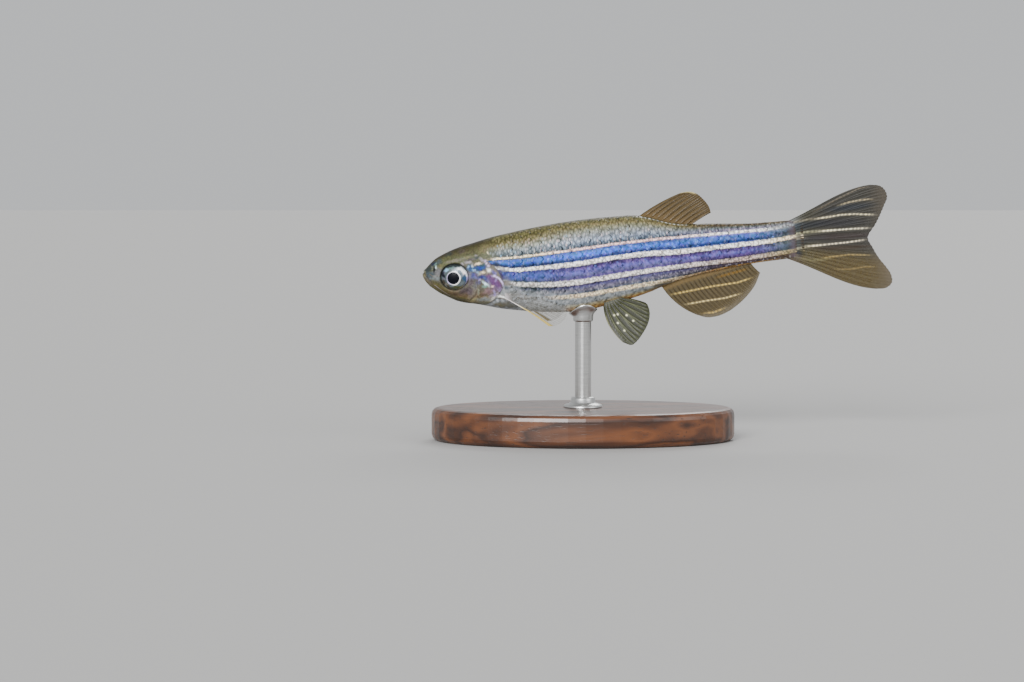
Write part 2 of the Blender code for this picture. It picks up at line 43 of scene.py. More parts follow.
VIEW_DISTANCE = 0.2231
VIEW_RAISED_DEG = 3.5
VIEW_LENS_MM = 85.0
TABLE_HALF_MM = 3000.0
TABLE_TOP_MM = -0.02
TABLE_SHADE = (0.386, 0.382, 0.374, 1.0)
ROOM_SHADE = (0.96, 0.98, 1.0, 1.0)
ROOM_STRENGTH = 0.66
LAMP_DISTANCE = 0.3
SOFT_LAMPS = (  # name, where it shines from, its spread in degrees, strength
    ("front_lamp", (-0.35, -1.0, 0.50), 28, 4.4),
    ("side_lamp", (0.90, -0.55, 0.55), 40, 0.8),
    ("back_lamp", (0.30, 1.0, 0.90), 34, 1.2),
)

scene = bpy.context.scene
raised = math.radians(VIEW_RAISED_DEG)
away = np.array((0.0, -math.cos(raised), math.sin(raised)))
side_view = bpy.data.objects.new("side_view", bpy.data.cameras.new("side_view"))
side_view.data.lens = VIEW_LENS_MM
side_view.data.clip_start = 0.01
side_view.location = VIEW_MIDDLE + VIEW_DISTANCE * away
side_view.rotation_euler = (math.pi / 2 - raised, 0, 0)
scene.collection.objects.link(side_view)
scene.camera = side_view

for name, place, spread_deg, strength in SOFT_LAMPS:
    lamp_light = bpy.data.lights.new(name, "SUN")
    lamp_light.angle = math.radians(spread_deg)
    lamp_light.energy = strength
    lamp = bpy.data.objects.new(name, lamp_light)
    lamp.location = [LAMP_DISTANCE * part for part in place]
    lamp.rotation_euler = lamp.location.to_track_quat("Z", "Y").to_euler()
    scene.collection.objects.link(lamp)

room = bpy.data.worlds.new("pale_room")
room.use_nodes = True
room.node_tree.nodes["Background"].inputs["Color"].default_value = ROOM_SHADE
room.node_tree.nodes["Background"].inputs["Strength"].default_value = ROOM_STRENGTH
scene.world = room


def new_finish(name):
    """A new material with its tree and its shader."""
    finish = bpy.data.materials.new(name)
    finish.use_nodes = True
    return finish, finish.node_tree, finish.node_tree.nodes["Principled BSDF"]


def grid_faces(rows, columns):
    """The four corners of each cell of a grid of points, which are counted row by row."""
    index = np.arange(rows * columns).reshape(rows, columns)
    return np.stack((index[:-1, :-1], index[1:, :-1], index[1:, 1:], index[:-1, 1:]), -1).reshape(-1, 4)


def make_piece(name, points_mm, faces, finish, attributes=None):
    """A smooth closed mesh from points in millimetres, its faces turned outwards by the sign of its volume.

    Faces are rows of three or four corners. An attribute has a row for each point, of four numbers where
    it is a colour with its cover, else of three."""
    points = np.asarray(points_mm, float).reshape(-1, 3) * 0.001
    sets = [group[:, [0, k, k + 1]] for group in faces for k in range(1, group.shape[1] - 1)]
    triangles = points[np.concatenate(sets)]
    volume = np.einsum("ij,ij->i", triangles[:, 0], np.cross(triangles[:, 1], triangles[:, 2])).sum()
    corners = [group[:, ::-1] if volume < 0 else group for group in faces]
    sizes = np.concatenate([np.full(len(group), group.shape[1]) for group in corners])
    mesh = bpy.data.meshes.new(name)
    mesh.vertices.add(len(points))
    mesh.vertices.foreach_set("co", points.ravel())
    mesh.loops.add(int(sizes.sum()))
    mesh.loops.foreach_set("vertex_index", np.concatenate([group.ravel() for group in corners]))
    mesh.polygons.add(len(sizes))
    mesh.polygons.foreach_set("loop_start", np.cumsum(sizes) - sizes)
    mesh.polygons.foreach_set("loop_total", sizes)
    mesh.update(calc_edges=True)
    mesh.validate()
    for label, rows in (attributes or {}).items():
        coloured = np.shape(rows)[-1] == 4
        made = mesh.attributes.new(label, "FLOAT_COLOR" if coloured else "FLOAT_VECTOR", "POINT")
        made.data.foreach_set("color" if coloured else "vector", np.asarray(rows, float).ravel())
    mesh.shade_smooth()
    mesh.materials.append(finish)
    piece = bpy.data.objects.new(name, mesh)
    scene.collection.objects.link(piece)
    return piece


table_finish, tree, shader = new_finish("pale_table")
shader.inputs["Base Color"].default_value = TABLE_SHADE
shader.inputs["Roughness"].default_value = 0.75
spread = np.linspace(-TABLE_HALF_MM, TABLE_HALF_MM, 3)
flat = np.stack(np.broadcast_arrays(spread[:, None], spread[None, :], TABLE_TOP_MM), -1)
table = make_piece("pale_table", flat, [grid_faces(3, 3)[:, ::-1]], table_finish)

# The body. On the real fish one thin moist skin runs from the lips to the root of the tail fin, over the
# bones of the head and the gill covers. Here it is one closed painted cast, and carries all the markings.
# Places are in millimetres: x back from the snout, z up from the body's axis, and the left side at -y.
BODY_LANDMARKS = (  # place, back, belly, half width
    (0.0, 0.45, -1.5, 0.85), (1.0, 1.0, -1.88, 1.15), (2.9, 1.8, -2.9, 1.72), (5.0, 2.3, -3.46, 2.0),
    (7.4, 2.8, -4.12, 2.2), (10.5, 3.22, -4.66, 2.34), (14.4, 3.53, -4.9, 2.36), (17.6, 3.58, -4.42, 2.14),
    (20.0, 3.5, -3.92, 1.88), (23.7, 2.44, -2.78, 1.5), (27.0, 2.14, -2.3, 1.18), (30.6, 1.86, -1.93, 0.84),
    (34.0, 1.8, -1.78, 0.42),
)
SNOUT_LEVEL = -0.20
SNOUT_ROUNDING = 1.6
WIDEST_LEVEL = ((0.0, -0.35), (3.0, -0.55), (7.4, -0.95), (14.4, -0.85), (23.7, -0.20), (34.0, 0.0))
UPPER_FULLNESS = ((0.0, 2.2), (3.0, 2.7), (7.4, 2.3), (14.4, 2.1), (34.0, 2.2))
LOWER_FULLNESS = ((0.0, 2.2), (3.0, 2.2), (7.4, 2.1), (14.4, 2.0), (34.0, 2.1))
TAIL_END = 33.5
TAIL_CLOSING = 1.7
HEAD_DOWN_DEG = 5.06
SNOUT_PLACE = (-14.776, 0.0, 15.5)
COAT_DEPTH = 0.05
EYE_PLACE = (2.91, -0.67)
EYE_RADIUS = 1.27
EYE_RADIUS_UP = 1.19
MOUTH_LINE = ((-0.35, 0.42), (0.10, -0.12), (0.50, -0.78), (0.78, -1.14))
GILL_EDGE = (  # rear edge of the gill cover, from the nape to the throat
    (5.6, 0.8), (5.98, 0.54), (6.65, 0.0), (7.1, -0.87), (7.36, -1.6), (7.23, -2.06), (6.77, -2.67),
    (6.26, -3.1), (5.58, -3.46), (4.6, -3.42), (3.3, -3.02),
)
GILL_STEP = 0.10
GILL_TOP = 0.62  # above it the markings start from the nape instead of the gill cover
CHEEK_GROOVE = ((4.75, -0.15), (4.98, -0.90), (4.95, -1.80), (4.70, -2.50), (4.10, -2.95), (3.10, -2.80))
LOWER_GILL_GROOVE = ((5.15, -2.55), (5.90, -2.62), (6.60, -2.40), (7.20, -1.95))
JAW_GROOVE = ((0.78, -1.14), (1.30, -1.75), (2.10, -2.30), (2.90, -2.62))
FIN_BASE = ((6.72, -2.78), (6.92, -2.80), (7.30, -2.94), (7.80, -3.26))  # under the breast fin's first ray
GROOVES = (  # line, depth, breadth
    (CHEEK_GROOVE, 0.030, 0.07), (LOWER_GILL_GROOVE, 0.020, 0.06), (JAW_GROOVE, 0.025, 0.08),
    (FIN_BASE, -0.06, 0.09),
)
JAW_PLATE = (1.05, -0.72, 0.62, 0.24, -32, 0.25)  # place, height, reach back, reach up, tilt, softness
NOSTRIL = (  # place, height, stretch, depth, breadth of its two pits and the flap between them
    (0.98, 0.20, 1.0, 0.16, 0.12), (1.38, 0.52, 0.8, 0.14, 0.13), (1.18, 0.40, 1.0, -0.05, 0.09),
)
PORE_DEPTH = 0.03
PORES = (  # place, height, breadth
    (1.62, 0.88, 0.05), (2.45, 1.25, 0.05), (3.4, 1.4, 0.05), (4.3, 1.32, 0.05), (1.55, -1.52, 0.045),
    (2.1, -2.05, 0.045), (2.85, -2.32, 0.045), (3.62, -2.22, 0.045), (4.25, -1.82, 0.045),
    (4.55, -1.2, 0.045),
)
PALE_LINES = (  # place, then the height of the middle of each pale line, the ridge's side first
    (6.5, 0.67, -0.05, -1.42, -2.93), (8.5, 0.63, -0.49, -1.8, -3.1), (10.6, 0.69, -0.48, -2.04, -3.3),
    (12.3, 0.75, -0.47, -2.14, -3.37), (14.1, 0.85, -0.41, -2.12, -3.38), (17.7, 1.04, -0.16, -1.85, -3.1),
    (20.4, 1.11, -0.06, -1.69, -2.91), (23.7, 1.15, -0.16, -1.53, -2.63), (26.8, 1.14, -0.07, -1.46, -2.2),
    (28.9, 1.13, -0.02, -1.41, -1.98), (32.0, 1.15, 0.04, -1.21, -1.76), (34.3, 1.36, 0.24, -1.06, -1.66),
)
LINE_HALF_WIDTHS = (  # place, then half the width of each
    (6.5, 0.08, 0.13, 0.17, 0.12), (8.5, 0.09, 0.17, 0.19, 0.14), (10.6, 0.09, 0.17, 0.22, 0.17),
    (14.1, 0.1, 0.22, 0.23, 0.18), (17.7, 0.1, 0.2, 0.2, 0.18), (22.0, 0.11, 0.24, 0.2, 0.18),
    (26.0, 0.12, 0.21, 0.2, 0.12), (29.0, 0.14, 0.21, 0.2, 0.09), (34.3, 0.17, 0.19, 0.18, 0.07),
)
LINE_SPAN = 0.15  # half of a pale line's share of the step from one line to the next
FLANK_STARTS = ((2.6, 7.0), (3.0, 7.6), (3.5, 8.8), (4.0, 10.8), (4.5, 12.0), (5.0, 12.5))
STUDIO_LIGHT = 2.0  # how bright a white surface looks under the lamps
PAINTS = {  # as each should look in the studio's light
    # The paint after ink is the dark of painted shade in the nostril's pit, round the eye and along the
    # eyeball's edge; it also colours the eyeball's back.
    "black": "#080c18", "ink": "#1b1c2c", "shade black": "#26292b", "bark": "#352e24", "umber": "#4c4234",
    "drab": "#605c44", "brown": "#62543f", "earth": "#62564a", "stone": "#716d62", "warm grey": "#918a80",
    "dark olive": "#46422a", "olive": "#6f6b48", "moss": "#666a4c", "tan": "#8f8766", "sand": "#b2a98c",
    "gold": "#8c7852", "dull gold": "#82715a", "pale gold": "#c2a676", "bright gold": "#d8bf78",
    "dusty pink": "#9a8288", "dusty mauve": "#8e7a96", "lead": "#3c4446", "slate": "#525e66",
    "pewter": "#6c7678", "dull steel": "#6c7888", "cool grey": "#8c9498", "grey": "#86868a",
    "silver": "#a2a6a8", "pale silver": "#b2b6ba", "blue silver": "#a2aab6", "ash": "#9c9d8e",
    "frost": "#d6e6ea", "ice blue": "#b4d2e6", "sea mist": "#8fb0a6", "sea green": "#41606a",
    "night blue": "#24304e", "navy": "#2c4074", "deep blue": "#36528a", "steel blue": "#4a6a90",
    "royal blue": "#4464aa", "clear blue": "#5473aa", "blue": "#6080b6", "bright blue": "#6a8cd2",
    "pale blue": "#9cb6ee", "indigo": "#45468a", "dusk blue": "#5c69a0", "periwinkle": "#6377b4",
    "violet": "#6f6098", "lavender": "#8481bc", "grey violet": "#74749a", "lilac grey": "#928e9e",
    "pale grey": "#b0aab4", "lilac": "#b2a6cc", "pale lilac": "#ded4f0", "pink pearl": "#f0dcdc",
    "mauve grey": "#71666e", "dark mauve": "#5a4e58", "mauve": "#7e5e8a", "plum": "#4a3c5c",
    "pearl": "#dcdcda", "dull pearl": "#d4cac6", "soft white": "#ecebea", "cream": "#f0e6d4",
    "white": "#fefefe",
}
FLANK_PLAN = (  # step down the flank, then its paint near the gills, at mid-body, near the tail, at its root
    (0.0, "dark olive", "dark olive", "bark", "bark"),
    (0.09, "olive", "olive", "umber", "umber"),
    (0.22, "olive", "tan", "brown", "brown"),
    (0.36, "tan", "ash", "stone", "stone"),
    (0.5, "ash", "silver", "pewter", "stone"),
    (0.64, "cool grey", "blue silver", "lilac grey", "grey"),
    (0.75, "slate", "dull steel", "lilac grey", "grey"),
    (0.83, "lead", "slate", "grey violet", "pewter"),
    (0.9, "cream", "pink pearl", "white", "pale silver"),
    (1.07, "cream", "pink pearl", "white", "pale silver"),
    (1.18, "slate", "dusk blue", "lavender", "cool grey"),
    (1.31, "royal blue", "blue", "blue", "dull steel"),
    (1.44, "clear blue", "bright blue", "blue", "slate"),
    (1.55, "royal blue", "bright blue", "periwinkle", "lead"),
    (1.66, "deep blue", "dusk blue", "deep blue", "slate"),
    (1.77, "night blue", "navy", "navy", "slate"),
    (1.84, "navy", "dusk blue", "dusk blue", "pewter"),
    (1.92, "white", "white", "white", "cream"),
    (2.1, "white", "white", "white", "cream"),
    (2.19, "indigo", "plum", "plum", "slate"),
    (2.32, "dusk blue", "violet", "violet", "pewter"),
    (2.48, "periwinkle", "lavender", "lavender", "dull steel"),
    (2.66, "dusk blue", "grey violet", "violet", "slate"),
    (2.81, "slate", "violet", "plum", "slate"),
    (2.91, "pearl", "soft white", "dull pearl", "sand"),
    (3.1, "pearl", "soft white", "dull pearl", "sand"),
    (3.19, "lead", "plum", "bark", "umber"),
    (3.31, "slate", "grey violet", "dark mauve", "earth"),
    (3.58, "silver", "lilac grey", "dark mauve", "earth"),
    (3.8, "pale silver", "dull steel", "earth", "earth"),
    (3.9, "pale silver", "cream", "pale gold", "earth"),
    (4.1, "pale silver", "cream", "pale gold", "earth"),
    (4.19, "pale silver", "silver", "pale gold", "dull gold"),
    (4.45, "pale silver", "silver", "bright gold", "dull gold"),
    (4.66, "pearl", "sand", "bright gold", "dull gold"),
    (4.8, "pearl", "pale gold", "pale gold", "dull gold"),
    (5.0, "sand", "pale gold", "gold", "brown"),
)
PLAN_JOINS = ((9.5, 15.0), (21.0, 28.5), (29.8, 33.8))  # where each column of the plan eases into the next
PLAN_END = 5.0
RAMP_SPLIT = 2.48  # the step of the plan where its two ramps meet
FACE_BASE = (  # share of the head's depth below its ridge, paint
    (0.0, "bark"), (0.04, "dark olive"), (0.1, "drab"), (0.24, "moss"), (0.36, "stone"),
    (0.46, "warm grey"), (0.6, "stone"), (0.74, "stone"), (0.86, "dull gold"), (0.94, "olive"),
    (1.0, "dark olive"),
)
FACE_SPOTS = (  # place, height, reach back, reach up, tilt if any, strength, paint
    (0.52, 0.18, 0.52, 0.22, 38, 0.85, "lead"), (1.45, 0.74, 0.5, 0.2, 32, 0.75, "slate"),
    (1.05, 0.7, 0.24, 0.11, 45, 0.7, "night blue"), (0.62, -0.28, 0.55, 0.28, 8, 0.9, "slate"),
    (1.46, -0.08, 0.36, 0.4, 0.8, "grey"), (1.12, -0.66, 0.58, 0.2, -4, 0.8, "cool grey"),
    (0.1, -0.4, 0.15, 0.5, -12, 0.75, "tan"), (0.16, 0.1, 0.14, 0.12, 0.65, "ash"),
    (0.72, -1.1, 0.5, 0.24, -45, 0.7, "stone"), (1.2, -1.4, 0.6, 0.34, -45, 0.8, "olive"),
    (1.02, -1.4, 0.4, 0.14, -45, 0.5, "tan"), (1.85, -1.8, 0.6, 0.3, -40, 0.6, "olive"),
    (1.76, 0.42, 0.26, 0.17, 35, 0.6, "tan"), (1.32, 0.62, 0.1, 0.13, 0.7, "sea mist"),
    # The dark spot at 1.08 is painted shade in the front nostril's pit, and the frost spot at 1.27 is a
    # painted highlight on the nostril's flap.
    (0.92, 0.34, 0.1, 0.16, 0.7, "ash"), (1.08, 0.16, 0.085, 0.25, 6, 0.95, "shade black"),
    (1.27, 0.35, 0.085, 0.15, -8, 0.95, "frost"), (2.3, 1.08, 0.45, 0.2, 20, 0.7, "moss"),
    (2.55, 1.42, 0.42, 0.14, 16, 0.6, "lead"), (5.95, 1.75, 0.6, 0.3, 8, 0.6, "tan"),
    (3.75, 1.62, 0.34, 0.2, 10, 0.4, "dark mauve"), (4.25, 1.02, 0.36, 0.11, 6, 0.7, "tan"),
    (2.95, 0.78, 0.85, 0.15, 8, 0.75, "warm grey"), (4.45, 0.8, 0.48, 0.09, 0.8, "dark mauve"),
    (4.3, 0.56, 0.38, 0.11, -10, 0.85, "pale grey"), (3.72, 0.44, 0.16, 0.12, -30, 0.8, "pale grey"),
    (5.12, 0.93, 0.23, 0.12, 0.9, "lead"), (5.05, 1.15, 0.16, 0.07, -5, 0.75, "pale grey"),
    (5.55, 1.38, 0.42, 0.15, 0.5, "tan"), (6.15, 1.26, 0.075, 0.17, 18, 0.95, "cream"),
    (4.46, 0.0, 0.36, 0.3, 0.9, "steel blue"), (5.25, -0.06, 0.66, 0.22, 4, 0.95, "deep blue"),
    (5.45, -0.02, 0.34, 0.14, 4, 0.8, "royal blue"), (4.21, 0.12, 0.13, 0.12, 0.7, "ice blue"),
    (5.2, 0.34, 0.34, 0.11, 4, 0.95, "cream"), (5.66, 0.64, 0.36, 0.16, -30, 0.85, "pale grey"),
    (5.82, 0.52, 0.15, 0.09, -30, 0.8, "pale lilac"), (5.58, 0.2, 0.26, 0.12, 0.9, "sea green"),
    (5.89, 0.28, 0.1, 0.1, 0.95, "pale lilac"), (4.63, 0.21, 0.11, 0.12, 0.7, "white"),
    (4.78, -0.22, 0.27, 0.08, -42, 0.95, "ice blue"), (5.12, -0.44, 0.17, 0.08, 0.8, "ice blue"),
    (5.5, -0.51, 0.27, 0.085, 2, 1.0, "cream"), (6.09, -0.29, 0.23, 0.17, -45, 1.0, "white"),
    (6.13, 0.1, 0.14, 0.09, -20, 0.85, "pale lilac"), (6.2, 0.36, 0.15, 0.12, 0.7, "lilac"),
    (6.42, 0.3, 0.14, 0.17, 0.75, "plum"), (4.68, -0.72, 0.4, 0.34, 0.9, "grey violet"),
    (4.62, -0.62, 0.2, 0.2, 0.6, "indigo"), (4.24, -0.75, 0.14, 0.48, 0.7, "lilac grey"),
    (4.34, -1.32, 0.24, 0.34, 0.75, "mauve grey"), (4.94, -0.9, 0.28, 0.09, -28, 0.75, "lavender"),
    (5.36, -0.88, 0.25, 0.18, -8, 0.95, "indigo"), (5.72, -0.98, 0.28, 0.19, -20, 0.85, "dusk blue"),
    (5.22, -1.13, 0.13, 0.1, 0.9, "lilac"), (6.04, -0.88, 0.26, 0.22, -20, 0.9, "mauve"),
    (6.5, -1.42, 0.66, 0.34, -52, 1.0, "mauve"), (6.86, -1.7, 0.26, 0.3, -60, 0.85, "mauve"),
    (6.54, -0.58, 0.32, 0.14, -40, 0.85, "lavender"), (6.34, -0.85, 0.11, 0.09, 0.8, "lilac"),
    (6.6, -0.87, 0.13, 0.11, 0.95, "pale lilac"), (6.66, -1.26, 0.09, 0.17, -20, 0.65, "lilac"),
    (6.02, -1.56, 0.12, 0.24, 0.65, "lilac"), (5.02, -1.36, 0.26, 0.2, 0.75, "grey violet"),
    (5.88, -1.28, 0.22, 0.16, 0.6, "lavender"), (5.68, -1.52, 0.42, 0.13, -46, 1.0, "frost"),
    (5.6, -1.76, 0.24, 0.11, -20, 0.85, "sea mist"), (6.27, -1.8, 0.14, 0.12, 0.95, "pink pearl"),
    (4.76, -1.72, 0.26, 0.26, 0.8, "grey"), (6.96, -2.16, 0.24, 0.2, -20, 0.85, "lilac"),
    (6.5, -2.1, 0.4, 0.22, 0.8, "dusty mauve"), (5.86, -2.24, 0.46, 0.28, 8, 0.85, "dusty pink"),
    (6.28, -2.64, 0.4, 0.2, 5, 0.85, "pale grey"), (6.7, -2.52, 0.22, 0.22, 0.8, "pale grey"),
    (6.42, -2.5, 0.11, 0.34, 0.8, "lilac"), (4.6, -2.2, 0.24, 0.42, 0.85, "warm grey"),
    (4.2, -2.18, 0.26, 0.4, 0.8, "mauve grey"), (4.96, -2.15, 0.1, 0.48, 2, 0.85, "ash"),
    (4.4, -2.98, 0.6, 0.22, -8, 0.85, "sand"), (5.45, -2.96, 0.7, 0.22, -2, 0.9, "silver"),
    (6.4, -2.94, 0.46, 0.17, 18, 0.85, "pearl"), (5.5, -3.3, 0.9, 0.13, 2, 0.8, "ash"),
    (2.4, -2.08, 0.62, 0.24, -18, 0.5, "brown"), (3.15, -2.26, 0.7, 0.22, -8, 0.5, "earth"),
    (3.72, -2.0, 0.5, 0.22, 25, 0.6, "dark mauve"), (4.18, -2.64, 0.3, 0.18, 0.7, "warm grey"),
)
FACE_STROKES = (  # half width, strength, paint, then the line
    (0.06, 0.95, "pale lilac", ((6.74, -1.0), (6.93, -1.09), (7.12, -1.36), (7.27, -1.62), (7.29, -1.92))),
    (0.05, 0.8, "pearl", ((6.02, -3.18), (6.34, -3.03), (6.52, -2.93), (6.7, -2.76))),
    # The umber and mauve grey strokes are painted shade in the mouth's line, the cheek, gill and jaw grooves
    # and along the throat.
    (0.03, 0.45, "umber", ((0.1, -0.12), (0.5, -0.78), (0.78, -1.14))), (0.03, 0.3, "umber", CHEEK_GROOVE),
    (0.03, 0.3, "mauve grey", LOWER_GILL_GROOVE), (0.035, 0.35, "umber", JAW_GROOVE),
    (0.05, 0.35, "umber", ((2.4, -2.74), (3.6, -3.08), (4.6, -3.36), (5.6, -3.6))),
)
SHOULDER_SPOTS = (  # on the flank just behind the gill cover, and a painted shade behind the belly fins, laid over the body's own markings
    (7.22, -0.98, 0.42, 0.2, -50, 0.95, "plum"), (7.02, -0.52, 0.3, 0.1, -45, 0.75, "dark mauve"),
    (7.62, -1.18, 0.3, 0.22, -10, 0.7, "grey violet"), (7.58, -1.66, 0.34, 0.3, -10, 0.85, "warm grey"),
    (6.82, 0.12, 0.26, 0.24, 0.85, "night blue"), (7.55, -2.02, 0.36, 0.16, -10, 0.8, "dull steel"),
    (8.06, -2.06, 0.15, 0.1, -20, 0.9, "bark"), (7.22, -2.52, 0.5, 0.28, -10, 0.9, "pale silver"),
    (7.76, -2.7, 0.17, 0.12, 0.9, "pearl"), (6.72, 0.6, 0.22, 0.1, 0.95, "white"),
    (8.3, -2.62, 0.5, 0.24, -8, 0.7, "pale silver"), (7.42, -0.38, 0.3, 0.15, -25, 0.75, "pale silver"),
    # The earth spot at 21.6 is painted shade on the belly behind the belly fins.
    (21.6, -3.14, 1.1, 0.26, 17, 0.75, "earth"), (7.6, -3.64, 0.75, 0.24, -20, 0.75, "stone"),
    (6.8, -3.62, 0.6, 0.2, -12, 0.75, "tan"),
)
BEADS_PER_MM = 4.3
FLECKS_PER_MM = 5.2
STARS_PER_MM = 1.45
RIDGE_BEAD_STEP = 0.37  # of the pale beads along the root of the back fin
BUMP_DISTANCE = 0.000016
SNOUT_TIP_REACH = 0.9
SNOUT_STATIONS = 40
HEAD_STATIONS = (0.945, 7.9, 0.046)  # first, end, step
FLANK_STATIONS = (7.9, TAIL_END, 0.122)
END_STATIONS = 14
SKIN_SIDES = 216


def ease(value, start, end):
    """0 at start and before it, 1 at end and past it, and a smooth rise between. End may be the lower one."""
    share = np.clip((value - start) / (end - start), 0, 1)
    return share * share * (3 - 2 * share)


def smooth(x, table, column=1):
    """A smooth curve through the table's rows: cubics that share their slope at each row."""
    rows = np.array(table, float)
    knots, values = rows[:, 0], rows[:, column]
    slopes = np.gradient(values, knots)
    x = np.clip(np.asarray(x, float), knots[0], knots[-1])
    cell = np.clip(np.searchsorted(knots, x, side="right") - 1, 0, len(knots) - 2)
    span = knots[cell + 1] - knots[cell]
    t = (x - knots[cell]) / span
    near = (1 + 2 * t) * (1 - t) ** 2 * values[cell] + t * (1 - t) ** 2 * span * slopes[cell]
    far = t * t * (3 - 2 * t) * values[cell + 1] - t * t * (1 - t) * span * slopes[cell + 1]
    return near + far


def section(x):
    """Height of the back, the belly and the widest level, and half the width, at places along the body.

    They close at the snout as a quarter circle does. At the tail the width eases to nothing in the fin."""
    ahead = 1 - np.clip(np.asarray(x, float) / SNOUT_ROUNDING, 0, 1)
    shares = np.sqrt(np.clip(1 - ahead * ahead, 0, 1))
    closing = np.clip((np.asarray(x, float) - TAIL_END) / TAIL_CLOSING, 0, 1)
    curves = (smooth(x, BODY_LANDMARKS, 1), smooth(x, BODY_LANDMARKS, 2), smooth(x, WIDEST_LEVEL))
    back, belly, level = (SNOUT_LEVEL + (curve - SNOUT_LEVEL) * shares for curve in curves)
    width = smooth(x, BODY_LANDMARKS, 3) * shares * (1 - 0.96 * closing * (2 - closing))
    return back, belly, level, width


def body_points(x, turn, swell=0.0):
    """Points of the body at place x and angle turn round it, with turn 0 at the fish's right side.

    Each section is two half superellipses, upper and lower, that meet at the widest level."""
    back, belly, level, width = section(x)
    up, out = np.sin(turn), np.cos(turn)
    power = np.where(up >= 0, smooth(x, UPPER_FULLNESS), smooth(x, LOWER_FULLNESS))
    reach = np.where(up >= 0, back - level, level - belly)
    y = np.sign(out) * np.abs(out) ** (2 / power) * (width + swell)
    z = level + np.sign(up) * np.abs(up) ** (2 / power) * (reach + swell)
    return np.stack(np.broadcast_arrays(x, y, z), -1)


def side_at(x, z):
    """Half the body's width at the height z, by the same two superellipses."""
    back, belly, level, width = section(x)
    above = z >= level
    power = np.where(above, smooth(x, UPPER_FULLNESS), smooth(x, LOWER_FULLNESS))
    share = np.clip(np.abs(z - level) / np.where(above, back - level, level - belly), 0, 1)
    return width * (1 - share**power) ** (1 / power)


def underside_at(x, y):
    """Height of the belly at the distance y from the middle plane, by the lower superellipse."""
    back, belly, level, width = section(x)
    power = smooth(x, LOWER_FULLNESS)
    return level - (level - belly) * (1 - np.clip(np.abs(y) / width, 0, 1) ** power) ** (1 / power)


def line_distance(x, z, line):
    """Distance from each place to a bent line: the least of the distances to its straight runs."""
    nearest = np.full(np.broadcast(x, z).shape, np.inf)
    for (x0, z0), (x1, z1) in zip(line[:-1], line[1:]):
        run = np.array((x1 - x0, z1 - z0))
        share = np.clip(((x - x0) * run[0] + (z - z0) * run[1]) / (run @ run), 0, 1)
        nearest = np.minimum(nearest, np.hypot(x - x0 - share * run[0], z - z0 - share * run[1]))
    return nearest


def spot(x, z, place, height, reach_back, reach_up, tilt_deg=0, softness=0.6):
    """1 inside a tilted ellipse, 0 outside it, easing over a soft rim."""
    tilt = math.radians(tilt_deg)
    along = ((x - place) * math.cos(tilt) + (z - height) * math.sin(tilt)) / reach_back
    over = ((z - height) * math.cos(tilt) - (x - place) * math.sin(tilt)) / reach_up
    return ease(np.hypot(along, over), 1 + softness, 1 - softness)


def ragged(x, z):
    """Places shifted a little by crossing waves, so that painted patches get uneven edges."""
    across = 0.040 * np.sin(9.1 * z + 2.3 * x) + 0.026 * np.sin(19.3 * z - 8.9 * x + 1.0)
    up = 0.040 * np.sin(8.3 * x - 3.1 * z + 0.7) + 0.026 * np.sin(17.7 * x + 7.1 * z + 2.0)
    return x + across, z + up


def stroke(x, z, line, half_width):
    """1 on a brushed line, 0 beside it, easing over its soft sides."""
    return ease(line_distance(x, z, line), 1.8 * half_width + 0.04, 0.2 * half_width)


def paint_of(name):
    """Red, green and blue from 0 to 1 of a named paint, or of a colour written as a hash and six digits."""
    code = PAINTS.get(name, name)
    return np.array([int(code[k : k + 2], 16) / 255 for k in (1, 3, 5)])


def blended(value, places, names):
    """The colour at each value, straight from the paint of one place to that of the next."""
    paints = np.array([paint_of(name) for name in names])
    return np.stack([np.interp(value, places, paints[:, k]) for k in range(3)], -1)


def brush(paint, mask, colour):
    """Lays a colour over the paint where the mask is 1."""
    paint += np.asarray(mask)[..., None] * (paint_of(colour) - paint)


def brush_tables(paint, x, z, spots, strokes):
    """Brushes a table of uneven spots over the paint, then a table of strokes."""
    near, high = ragged(x, z)
    for *shape, strength, colour in spots:
        brush(paint, strength * spot(near, high, *shape), colour)
    for half_width, strength, colour, line in strokes:
        brush(paint, strength * stroke(x, z, line, half_width), colour)


def to_linear(paint, cover):
    """The surface colour that looks like this paint in the studio, with its cover as a fourth number.

    The paint as light, by the usual curve of screens, raised towards white as l + 1.6 l^2.8 since film
    closes up there, with a little more of its difference from grey, over the light that falls on it."""
    seen = np.clip(paint, 0, 1)
    light = np.where(seen <= 0.04045, seen / 12.92, ((seen + 0.055) / 1.055) ** 2.4)
    light = (light + 1.6 * light**2.8) / STUDIO_LIGHT
    plain = light.mean(-1, keepdims=True)
    light = np.clip(plain + 1.15 * (light - plain), 0.001, 0.97)
    return np.concatenate([light, np.asarray(cover)[..., None]], -1)


def tone(name):
    """A paint as a colour for a socket."""
    return tuple(to_linear(paint_of(name), 1.0))


def outward(points, around=True):
    """Unit normals of a grid: the cross product of its steps round the body and its steps along it."""
    along = np.gradient(points, axis=0)
    across = np.roll(points, -1, 1) - np.roll(points, 1, 1) if around else np.gradient(points, axis=1)
    normal = np.cross(across, along)
    return normal / np.maximum(np.linalg.norm(normal, axis=-1, keepdims=True), 1e-9)


def walked(points):
    """Distance along each row of points, summed from 0 at its first."""
    hops = np.linalg.norm(np.diff(points, axis=1), axis=-1)
    return np.concatenate([np.zeros((len(points), 1)), np.cumsum(hops, 1)], 1)


def posed(points):
    """Turns places on the fish into the model's frame: head a little down, over the stand's rod."""
    slope = math.radians(HEAD_DOWN_DEG)
    x, y, z = points[..., 0], points[..., 1], points[..., 2]
    turned = (x * math.cos(slope) - z * math.sin(slope), y, x * math.sin(slope) + z * math.cos(slope))
    return np.stack(turned, -1) + np.array(SNOUT_PLACE)


